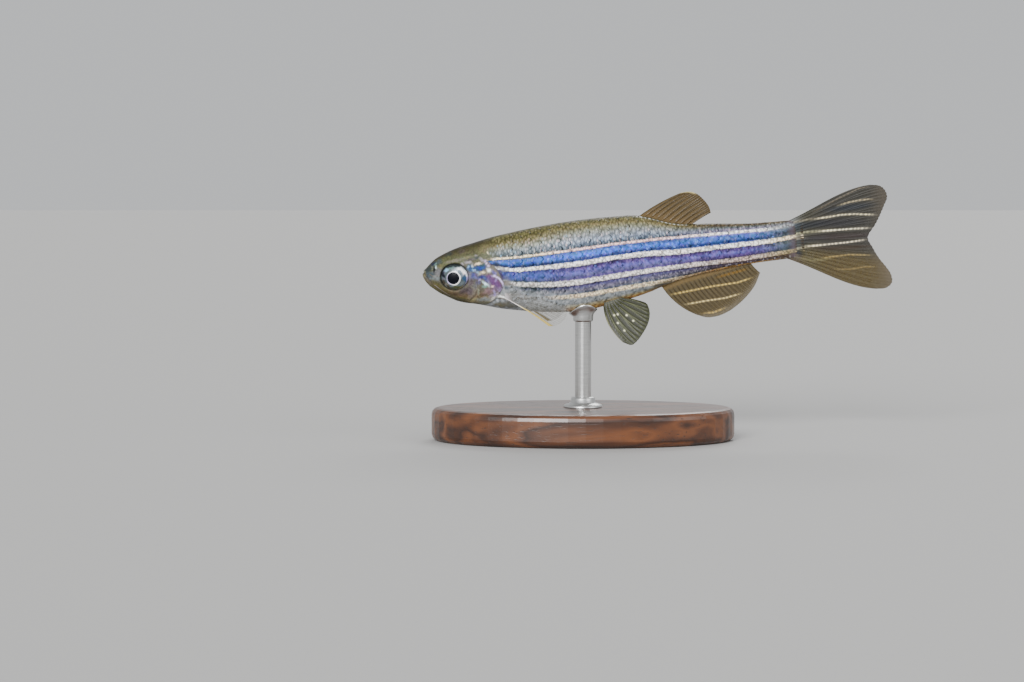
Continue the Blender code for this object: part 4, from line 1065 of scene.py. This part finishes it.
def make_barbel(side, name, root, middle, tip, radius):
    """A thread along a curve of three points on the cheek, thinning to its tip and lifting clear of it."""
    t = np.linspace(0, 1, BARBEL_RINGS)
    weights = ((1 - t) ** 2, 2 * t * (1 - t), t * t)
    x, z = (sum(w * p[k] for w, p in zip(weights, (root, middle, tip))) for k in (0, 1))
    y = side * (side_at(x, z) - 0.03 + 0.14 * ease(t, 0.0, 0.35) - 0.02 * t)
    path = np.stack([x, y, z], -1)
    run = np.gradient(path, axis=0)
    run /= np.linalg.norm(run, axis=-1, keepdims=True)
    out = np.cross(run, np.cross(np.array([0.0, side, 0.0]), run))
    out /= np.linalg.norm(out, axis=-1, keepdims=True)
    up = np.cross(run, out)
    turn = np.linspace(0, 2 * math.pi, BARBEL_SIDES, endpoint=False)[:, None]
    thick = (radius * (1 - 0.72 * t**1.2))[:, None, None]
    circle = np.cos(turn) * out[:, None] + np.sin(turn) * up[:, None]
    points, faces = closed_tube(path[:, None] + thick * circle)
    piece = make_piece(name, posed(points), faces, barbel_finish, {"fish_mm": points})
    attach(piece, "root")


for name, *shape in BARBEL_LINES:
    make_barbel(-1, name + "_left", *shape)
    make_barbel(1, name + "_right", *shape)

# The fins on the back, under the tail and at its end. A fin is a double membrane over jointed rays of
# bone that fork towards the margin. All of them are one cast sheet each, thin and partly clear.
MEMBRANE_HALF = 0.028
RAY_HALF_ROOT = 0.085
RAY_HALF_TIP = 0.030
FORK_START = 0.22
SECOND_FORK_START = 0.62
FORK_SPREAD = 0.25
SECOND_FORK_SPREAD = 0.11
JOINT_STEP = 0.30
NOTCH_SHARE = 0.006
DASH_STEP = 0.36  # of the pale lines
ROOT_DEPTH = 0.22  # of the fins' roots inside the body
FIN_BUMP_DISTANCE = 0.00001
DORSAL_ROOT = (20.1, 24.9)
DORSAL_MARGIN = (  # share of the way from the first ray to the last, place, height
    (0.0, 24.35, 5.18), (0.2, 25.15, 5.2), (0.4, 25.8, 4.92), (0.6, 26.35, 4.35), (0.8, 26.75, 3.72),
    (1.0, 26.9, 3.1),
)
ANAL_ROOT = (21.75, 30.1)
ANAL_MARGIN = (
    (0.0, 24.85, -6.18), (0.1, 25.7, -6.48), (0.2, 26.5, -6.48), (0.35, 27.55, -6.2), (0.5, 28.55, -5.65),
    (0.65, 29.5, -4.9), (0.82, 30.35, -3.95), (1.0, 30.95, -2.8),
)
TAIL_ROOT_PLACE = 33.2
TAIL_ROOT_HEIGHTS = (1.49, -1.59)
TAIL_MARGIN = (
    (0.0, 41.75, 4.37), (0.06, 42.55, 4.22), (0.125, 43.05, 3.76), (0.19, 43.2, 3.08), (0.26, 42.85, 2.34),
    (0.34, 42.42, 1.5), (0.42, 41.92, 0.68), (0.5, 41.15, -0.42), (0.58, 41.52, -1.42), (0.66, 42.0, -2.4),
    (0.74, 42.6, -3.28), (0.81, 43.0, -4.02), (0.875, 43.02, -4.78), (0.94, 42.4, -5.24),
    (1.0, 41.55, -5.24),
)
TAIL_PALE_LINES = (  # half width, strength, colour, then the line
    (0.055, 0.8, "#e6d8b8", ((38.3, 2.66), (39.64, 2.94), (40.75, 3.04), (41.44, 3.05), (42.2, 2.94))),
    (0.075, 0.7, "#b4ab98", ((33.2, 1.38), (34.6, 1.56), (35.6, 1.68), (36.8, 1.7), (38.4, 1.83))),
    (0.055, 1.0, "#f4ecd4", ((36.2, 1.69), (37.41, 1.72), (38.73, 1.85), (40.09, 1.8), (42.3, 1.53))),
    (0.09, 0.85, "#c4c0a4", ((33.2, 0.32), (34.35, 0.46), (35.38, 0.54), (36.69, 0.52), (38.6, 0.5))),
    (0.058, 1.0, "#fbf4e2", ((36.4, 0.53), (38.06, 0.5), (39.6, 0.47), (41.75, 0.39))),
    (0.09, 0.85, "#cfc8b0", ((33.2, -1.02), (34.57, -0.9), (35.4, -0.78), (37.2, -0.74))),
    (0.058, 1.0, "#f6eedc", ((35.2, -0.78), (37.82, -0.75), (39.19, -0.73), (41.3, -0.61))),
    (0.11, 0.55, "#a5a17c", ((34.9, -1.85), (35.8, -2.08), (36.73, -2.1), (38.0, -1.92))),
    (0.05, 0.8, "#c8b480", ((36.6, -1.96), (39.22, -1.87), (40.58, -2.02), (41.6, -2.12))),
    (0.05, 0.65, "#b9a678", ((37.6, -3.06), (39.17, -3.22), (40.55, -3.12), (41.9, -3.2))),
    (0.045, 0.5, "#c4b49c", ((36.0, 2.24), (37.37, 2.8), (38.52, 3.31), (40.65, 4.12), (41.9, 4.2))),
)
TAIL_DARK_SPOTS = (
    (34.42, -1.45, 0.46, 0.32, -10, 0.95, "#26222e"), (35.4, 1.15, 1.9, 0.3, 3, 0.6, "#2f343c"),
    (38.6, 1.15, 2.2, 0.34, -3, 0.5, "#33323a"), (39.6, 2.45, 2.0, 0.26, 2, 0.55, "#2e3540"),
    (38.6, -0.12, 3.2, 0.26, -2, 0.5, "#46393a"), (35.6, -0.16, 1.6, 0.26, 3, 0.5, "#3d3e42"),
    (38.9, -1.18, 2.6, 0.18, -2, 0.55, "#4a3c30"),
)
ANAL_GOLD_LINES = (
    (0.055, 1.0, "#e4d296", ((22.3, -4.12), (24.51, -3.88), (26.49, -3.66), (28.8, -3.52), (30.45, -3.12))),
    (0.055, 1.0, "#ece0b8", ((23.55, -5.14), (25.75, -4.94), (27.53, -4.84), (29.3, -4.5))),
    (0.055, 0.95, "#e0cc90", ((25.1, -6.08), (26.36, -6.06), (27.8, -5.66))),
    (0.09, 0.7, "#a98440", ((26.6, -2.95), (28.1, -2.66), (30.11, -2.3))),
)


def fan_place(root, margin, bow, u, v):
    """Places of a fin from its root, u 0, to its margin, u 1, and from its first ray, v 0, to its last.

    Each ray runs straight from root to margin, then bends aside by a hump that is nothing at both ends."""
    first_bow, last_bow, peaked = bow
    start = np.stack(root(v), -1)
    run = np.stack([smooth(v, margin, 1), smooth(v, margin, 2)], -1) - start
    length = np.linalg.norm(run, axis=-1, keepdims=True)
    across = np.stack([-run[..., 1], run[..., 0]], -1) / length
    top = peaked / (peaked + 1)
    hump = (u / top) ** peaked * (1 - u) / (1 - top) * (first_bow + (last_bow - first_bow) * v)
    return start + run * u[..., None] + across * hump[..., None], length[..., 0]


def ray_ridge(u, v, rays, plain_ends):
    """How near each place is to a ray's crest, 1 on it, with forks that part towards the margin."""
    number = np.rint(v * (rays - 1))
    off = v * (rays - 1) - number
    forked = np.where((number == 0) | (plain_ends & (number == rays - 1)), 0.0, 1.0)
    wide = FORK_SPREAD * ease(u, FORK_START, 1.05) * forked
    fine = SECOND_FORK_SPREAD * ease(u, SECOND_FORK_START, 1.2) * forked
    nearest = np.abs(np.abs(np.abs(off) - wide) - fine)
    return swelling(nearest, 0.14 - 0.085 * ease(u, 0.10, 0.85))


def fin_finish(name):
    """Clear membrane and jointed rays: paint and cover by the fin's own attributes, with fine dots."""
    finish, tree, shader = new_finish(name)
    paint, _, cover = read(tree, "paint")
    place = read(tree, "fish_mm")[1]
    _, length, crest = parts(read(tree, "ray_place")[1])
    joint = fade((length * (2 * math.pi / JOINT_STEP)).maths("SINE"), 0.55, 1.0) * crest
    set_sockets(shader, {
        "Base Color": lively(paint, grain(place, 5.0, 3.0) * 0.5 + joint * -0.22 + 0.76),
        "Alpha": cover.maths("ADD", grain(place, 3.0) * 0.16 - 0.08, clamp=True),
        "Roughness": 0.40,
        "Specular IOR Level": 0.22,
        "Coat Weight": 0.05,
        "Coat Roughness": 0.12,
        "Normal": bump(joint * -0.6 + grain(place, 14.0), 0.6, FIN_BUMP_DISTANCE),
    })
    return finish


def make_fin(name, nodes, finish, counts, shape, side_of, colours, extra, plain_ends=False):
    """A closed sheet over rays: the fan's middle surface with half its thickness on either side.

    Thickness is the membrane's plus the rays' crests, and thins to the margin. The membrane falls a
    little short of the ray tips, which leaves the margin finely notched."""
    rays, cells_between, rows = counts
    membrane, ray_colour, membrane_cover, ray_cover = colours
    columns = (rays - 1) * cells_between + 1
    u, v = np.meshgrid(np.linspace(0, 1, rows), np.linspace(0, 1, columns), indexing="ij")
    crest = ray_ridge(u, v, rays, plain_ends)
    flat_place, length = fan_place(*shape, u * (1 - NOTCH_SHARE * (1 - crest) * ease(u, 0.80, 1.0)), v)
    x, z = flat_place[..., 0], flat_place[..., 1]
    middle = side_of(x, z, u, v)
    ray_half = RAY_HALF_ROOT + (RAY_HALF_TIP - RAY_HALF_ROOT) * ease(u, 0.0, 0.85)
    edge = np.minimum(np.minimum(v, 1 - v) * (rays - 1) / 0.12, 1)
    half = MEMBRANE_HALF + crest * ray_half * ease(u, 0.04, 0.24)
    half *= (1 - 0.75 * ease(u, 0.90, 1.0)) * np.sqrt(np.clip(edge + 0.08, 0, 1))
    points = np.concatenate([np.stack([x, y, z], -1).reshape(-1, 3) for y in (middle - half, middle + half)])
    far = rows * columns
    rim = rim_of(rows, columns)
    after = np.roll(rim, -1)
    sheet = grid_faces(rows, columns)
    faces = [sheet, sheet[:, ::-1] + far, np.stack([rim, after, after + far, rim + far], -1)]

    ray_share = np.clip(crest * 1.2, 0, 1)
    paint = paint_of(membrane) + ray_share[..., None] * (paint_of(ray_colour) - paint_of(membrane))
    cover = extra(paint, membrane_cover + (ray_cover - membrane_cover) * ray_share, x, z, u, v, crest)
    cover = np.clip(cover + (1 - cover) * ease(u, 0.12, 0.0), 0, 1)
    shown = to_linear(paint, cover).reshape(-1, 4)
    ray_place = np.stack([u, u * length, crest], -1).reshape(-1, 3)
    attributes = {"paint": np.tile(shown, (2, 1)), "fish_mm": points, "ray_place": np.tile(ray_place, (2, 1))}
    piece = make_piece(name, posed(points), faces, finish, attributes)
    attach(piece, "root")
    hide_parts(*nodes)


def between(ends, v):
    """From the first end to the second as v goes from 0 to 1."""
    return ends[0] + (ends[1] - ends[0]) * v


def dorsal_root(v):
    """Along the ridge of the back, a little inside it."""
    x = between(DORSAL_ROOT, v)
    return x, section(x)[0] - ROOT_DEPTH


def anal_root(v):
    """Along the belly's edge, a little inside it."""
    x = between(ANAL_ROOT, v)
    return x, section(x)[1] + ROOT_DEPTH


def tail_root(v):
    """Down through the end of the body."""
    return TAIL_ROOT_PLACE + 0 * v, between(TAIL_ROOT_HEIGHTS, v)


def paint_lines(paint, cover, x, z, lines):
    """Brushes pale lines over a fin's paint and makes it more solid there."""
    for half_width, strength, colour, line in lines:
        start, end = line[0][0], line[-1][0]
        mask = strength * stroke(x, z, line, half_width)
        mask *= ease(x, start - 0.2, start + 1.0) * ease(x, end + 0.1, end - 1.0)
        mask *= 0.77 + 0.23 * np.cos(x * 2 * math.pi / DASH_STEP + 0.8 * np.sin(5 * x))
        brush(paint, mask, colour)
        cover = np.maximum(cover, mask)
    return cover


def paint_dorsal(paint, cover, x, z, u, v, crest):
    """A dark leading ray, warmer towards the root, and a pale tip."""
    brush(paint, 0.55 * ease(u, 0.5, 0.0), "#8a7450")
    brush(paint, 0.80 * ease(v, 0.035, 0.0), "#4e4526")
    brush(paint, 0.85 * ease(u, 0.93, 0.99) * ease(v, 0.45, 0.30), "#e2dcb6")
    return cover


def paint_anal(paint, cover, x, z, u, v, crest):
    """Gold lines along the fin, and a clearer margin."""
    brush(paint, 0.5 * ease(u, 0.72, 1.0), "#8a7a52")
    brush(paint, 0.85 * ease(u, 0.17, 0.08), "gold")
    return paint_lines(paint, cover * (1 - 0.30 * ease(u, 0.75, 1.0)), x, z, ANAL_GOLD_LINES)


def paint_tail(paint, cover, x, z, u, v, crest):
    """The body's bands fading into slate, pale lines on to the margin, and a tan, clearer lower lobe."""
    lower = ease(v, 0.56, 0.74)
    brush(paint, 0.88 * lower, "#6a5c36")
    brush(paint, 0.35 * lower * crest, "#4e3c26")
    brush(paint, 0.50 * ease(x, 41.0, 43.0), "#75695a")
    brush(paint, 0.28 * crest * (1 - lower) * ease(x, 35.0, 36.5), "#8f8a7c")
    brush(paint, 0.35 * ease(x, 37.4, 35.4), "#6c6b58")
    for *spot_shape, strength, colour in TAIL_DARK_SPOTS:
        brush(paint, strength * spot(x, z, *spot_shape), colour)
    brush(paint, 0.60 * ease(v, 0.02, 0.0) * ease(x, 38, 39), "#8c8680")
    brush(paint, 0.70 * ease(v, 0.975, 1.0), "#4a3c20")
    body_x, body_z = tail_root(v)
    carried = flank_tone(body_x, marking_step(body_x, body_z))
    paint += (ease(x, 35.8, 33.4) * 0.9)[..., None] * (carried - paint)
    cover = cover * (1 - 0.12 * lower) * (1 - 0.12 * ease(u, 0.80, 1.0))
    return paint_lines(paint, cover, x, z, TAIL_PALE_LINES)


def sway(amount):
    """The gentle sideways wave of a fin held in the middle plane, growing from its root."""
    return lambda x, z, u, v: amount * ease(u, 0.1, 1.0) * np.sin(2.4 * v + 0.5)


make_fin("dorsal_rays", ["dorsal_fin"], fin_finish("dorsal_web"), (10, 16, 64),
         (dorsal_root, DORSAL_MARGIN, (0.16, 0.05, 1.0)), sway(0.14), ("#6e5c3a", "#4e4128", 0.86, 0.95),
         paint_dorsal)
make_fin("anal_rays", ["anal_fin"], fin_finish("anal_web"), (22, 12, 64),
         (anal_root, ANAL_MARGIN, (-0.36, -0.05, 1.0)), sway(-0.14), ("#665a3e", "#50452f", 0.88, 0.96),
         paint_anal)
make_fin("tail_rays", ["tail_fin_upper", "tail_fin_lower"], fin_finish("tail_web"), (19, 14, 92),
         (tail_root, TAIL_MARGIN, (0.36, -0.34, 2.4)), sway(0.20), ("#45433d", "#34322f", 0.92, 0.98),
         paint_tail, plain_ends=True)

# The paired fins. The breast fins are rooted just behind the gill covers and trail back past the belly,
# and the belly fins spread below it. They are cast sheets as the others are, flared a little outwards.
PECTORAL_ROOT = ((7.45, 7.30), (-3.08, -2.50))  # its places, then its heights
PECTORAL_OUT = math.tan(math.radians(17))
PECTORAL_FLARE = math.tan(math.radians(12))
PECTORAL_STANDOFF = 0.69
PECTORAL_MARGIN = (
    (0.0, 11.1, -5.78), (0.15, 11.75, -5.74), (0.35, 12.45, -5.35), (0.55, 12.8, -4.8), (0.75, 12.5, -4.15),
    (1.0, 10.9, -3.3),
)
PELVIC_ROOT = (16.35, 17.7)
PELVIC_ROOT_DEPTH = 0.15
PELVIC_SIDE = 0.90
PELVIC_FLARE = math.tan(math.radians(20))
PELVIC_MARGIN = (
    (0.0, 17.75, -7.98), (0.15, 18.5, -8.26), (0.3, 19.12, -7.86), (0.45, 19.66, -7.25), (0.6, 20.1, -6.62),
    (0.75, 20.38, -5.93), (0.88, 20.44, -5.3), (1.0, 20.3, -4.7),
)
PELVIC_SPECKS = (
    (17.16, -5.45), (17.50, -5.40), (17.43, -6.18), (18.30, -5.55), (18.85, -6.10), (17.95, -6.90),
)


def pectoral_root(v):
    """The short fleshy base, from its lower front end to its upper rear one."""
    return between(PECTORAL_ROOT[0], v), between(PECTORAL_ROOT[1], v)


def pelvic_root(v):
    """Along the underside, a little inside it."""
    x = between(PELVIC_ROOT, v)
    return x, underside_at(x, PELVIC_SIDE) + PELVIC_ROOT_DEPTH


def pectoral_side(side):
    """Distance from the middle plane: a plane that leans outwards, bent in to the skin at its root."""
    (_, start_x), (_, start_z) = PECTORAL_ROOT
    stand = side_at(start_x, start_z) + PECTORAL_STANDOFF

    def place(x, z, u, v):
        leaning = (x - start_x) * PECTORAL_OUT + (start_z - z) * PECTORAL_FLARE
        inwards = (PECTORAL_STANDOFF + 0.12) * ease(u, 0.30, 0.0)
        return side * (stand + leaning - inwards + 0.10 * np.sin(3 * v) * u)

    return place


def pelvic_side(side):
    """Distance from the middle plane: a plane that leans outwards below its root."""

    def place(x, z, u, v):
        drop = underside_at(x[:1], PELVIC_SIDE) - z
        return side * (PELVIC_SIDE + drop * PELVIC_FLARE + 0.08 * np.sin(3 * v) * u)

    return place


def paint_pectoral(paint, cover, x, z, u, v, crest):
    """A thick pale leading ray, white at its root and yellowish beyond, over an almost clear web."""
    lead = 0.95 * ease(v, 0.13, 0.04)
    brush(paint, lead, "#c9bb80")
    brush(paint, lead * ease(u, 0.50, 0.22), "#f2f0f4")
    brush(paint, 0.70 * ease(u, 0.22, 0.0), "#dcd8de")
    return np.maximum(cover * (1 - 0.25 * ease(u, 0.6, 1.0)), lead)


def paint_pelvic(paint, cover, x, z, u, v, crest):
    """Pale streaks along the rays' middles and a few bright specks."""
    brush(paint, 0.34 * crest * ease(u, 0.15, 0.3) * ease(u, 0.85, 0.62), "#b4b79a")
    brush(paint, 0.75 * ease(v, 0.03, 0.0) * ease(u, 0.2, 0.4), "#c2bf9c")
    for place, height in PELVIC_SPECKS:
        brush(paint, 0.95 * spot(x, z, place, height, 0.10, 0.10), "#f4f2e0")
    return cover


pectoral_finish = fin_finish("breast_web")
pelvic_finish = fin_finish("belly_web")
for side, label in ((-1, "left"), (1, "right")):
    make_fin("pectoral_rays_" + label, ["pectoral_fin_" + label], pectoral_finish, (11, 14, 56),
             (pectoral_root, PECTORAL_MARGIN, (0.12, 0.14, 1.0)), pectoral_side(side),
             ("#a8a59c", "#8b887e", 0.10, 0.30), paint_pectoral)
    make_fin("pelvic_rays_" + label, ["pelvic_fin_" + label], pelvic_finish, (8, 16, 56),
             (pelvic_root, PELVIC_MARGIN, (-0.48, 0.10, 1.0)), pelvic_side(side),
             ("#32341f", "#575a3e", 0.92, 0.97), paint_pelvic)

# The stand. A walnut block with a satin varnish carries a brushed steel rod, which ends in a small steel
# saddle under the belly and stands in a turned steel collar.
WALNUT_DARK = "#2c170c"
WALNUT_MIDDLE = "#5a3520"
WALNUT_PALE = "#8a5a38"
WALNUT_RINGS = (
    (0.0, WALNUT_DARK), (0.25, WALNUT_MIDDLE), (0.62, WALNUT_PALE), (0.9, WALNUT_MIDDLE), (1.0, WALNUT_DARK),
)
WALNUT_PORE = (0.012, 0.006, 0.003, 1)
STEEL_SHADE = (0.60, 0.60, 0.59, 1)
STEEL_DARK = (0.46, 0.46, 0.45, 1)
STEEL_PALE = (0.70, 0.70, 0.69, 1)
ROD_PLACE = 14.4
ROD_FOOT = 3.0
COLLAR_PROFILE = (  # radius, height over the base
    (0.70, -0.05), (1.75, -0.05), (1.80, 0.08), (1.72, 0.26), (1.35, 0.36), (1.15, 0.50), (1.10, 0.86),
    (1.02, 0.96), (0.70, 1.00),
)
SADDLE_PROFILE = (  # radius, distance under the belly
    (0.70, 1.10), (0.88, 1.08), (0.93, 1.00), (0.93, 0.66), (0.98, 0.44), (1.14, 0.26), (1.28, 0.16),
    (1.32, 0.08), (1.28, 0.02), (1.10, -0.03),
)
TURNED_SIDES = 72
PORE_BUMP_DISTANCE = 0.00004
BRUSH_BUMP_DISTANCE = 0.00001


def stretched_grain(tree, stretch, detail):
    """Soft noise over the object's own metres, drawn out by three scales."""
    place = node("TexCoord", {}, tree)[3]
    return grain(node("Mapping", {"Vector": place, "Scale": stretch})[0], 1.0, detail)


walnut, tree, shader = new_finish("walnut")
streaks = stretched_grain(tree, (70, 900, 900), 6.0)
figure = stretched_grain(tree, (26, 210, 210), 3.0)
pore = fade(stretched_grain(tree, (500, 6500, 6500), 2.0), 0.60, 0.72)
wood = ramp((figure * 7.0 + streaks * 0.8).maths("FRACT"), WALNUT_RINGS)
wood = overlay(streaks * 0.55, wood, tone(WALNUT_MIDDLE))
set_sockets(shader, {
    "Base Color": overlay(pore * 0.65, wood, WALNUT_PORE),
    "Roughness": pore * 0.25 + 0.36,
    "Coat Weight": 0.35,
    "Coat Roughness": 0.22,
    "Normal": bump(streaks - pore, 0.35, PORE_BUMP_DISTANCE),
})

steel, tree, shader = new_finish("brushed_steel")
brushing = stretched_grain(tree, (900, 900, 14000), 3.0)
shader.inputs["Base Color"].default_value = STEEL_SHADE
set_sockets(shader, {
    "Base Color": overlay(brushing, STEEL_DARK, STEEL_PALE),
    "Metallic": 1.0,
    "Roughness": brushing * 0.20 + 0.22,
    "Normal": bump(brushing, 0.25, BRUSH_BUMP_DISTANCE),
})

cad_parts["stand_base"].material_slots[0].material = walnut
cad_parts["stand_rod"].material_slots[0].material = steel

turning = np.arange(TURNED_SIDES) * 2 * math.pi / TURNED_SIDES
circle = np.stack([np.cos(turning), np.sin(turning)])
collar_rings = []
for radius, rise in COLLAR_PROFILE:
    collar_rings.append(np.stack([*radius * circle, np.full(TURNED_SIDES, ROD_FOOT + rise)], -1))
saddle_rings = []
for radius, drop in SADDLE_PROFILE:
    out_x, out_y = radius * circle
    belly_x = ROD_PLACE + out_x
    belly_z = posed(np.stack([belly_x, out_y, underside_at(belly_x, out_y) - drop], -1))[:, 2]
    level = belly_z + (belly_z.mean() - belly_z) * ease(drop, 0.3, 0.8)
    saddle_rings.append(np.stack([out_x, out_y, level], -1))
for name, rings in (("rod_collar", collar_rings), ("belly_saddle", saddle_rings)):
    fitting = make_piece(name, *closed_tube(np.array(rings)), steel)
    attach(fitting, "root")
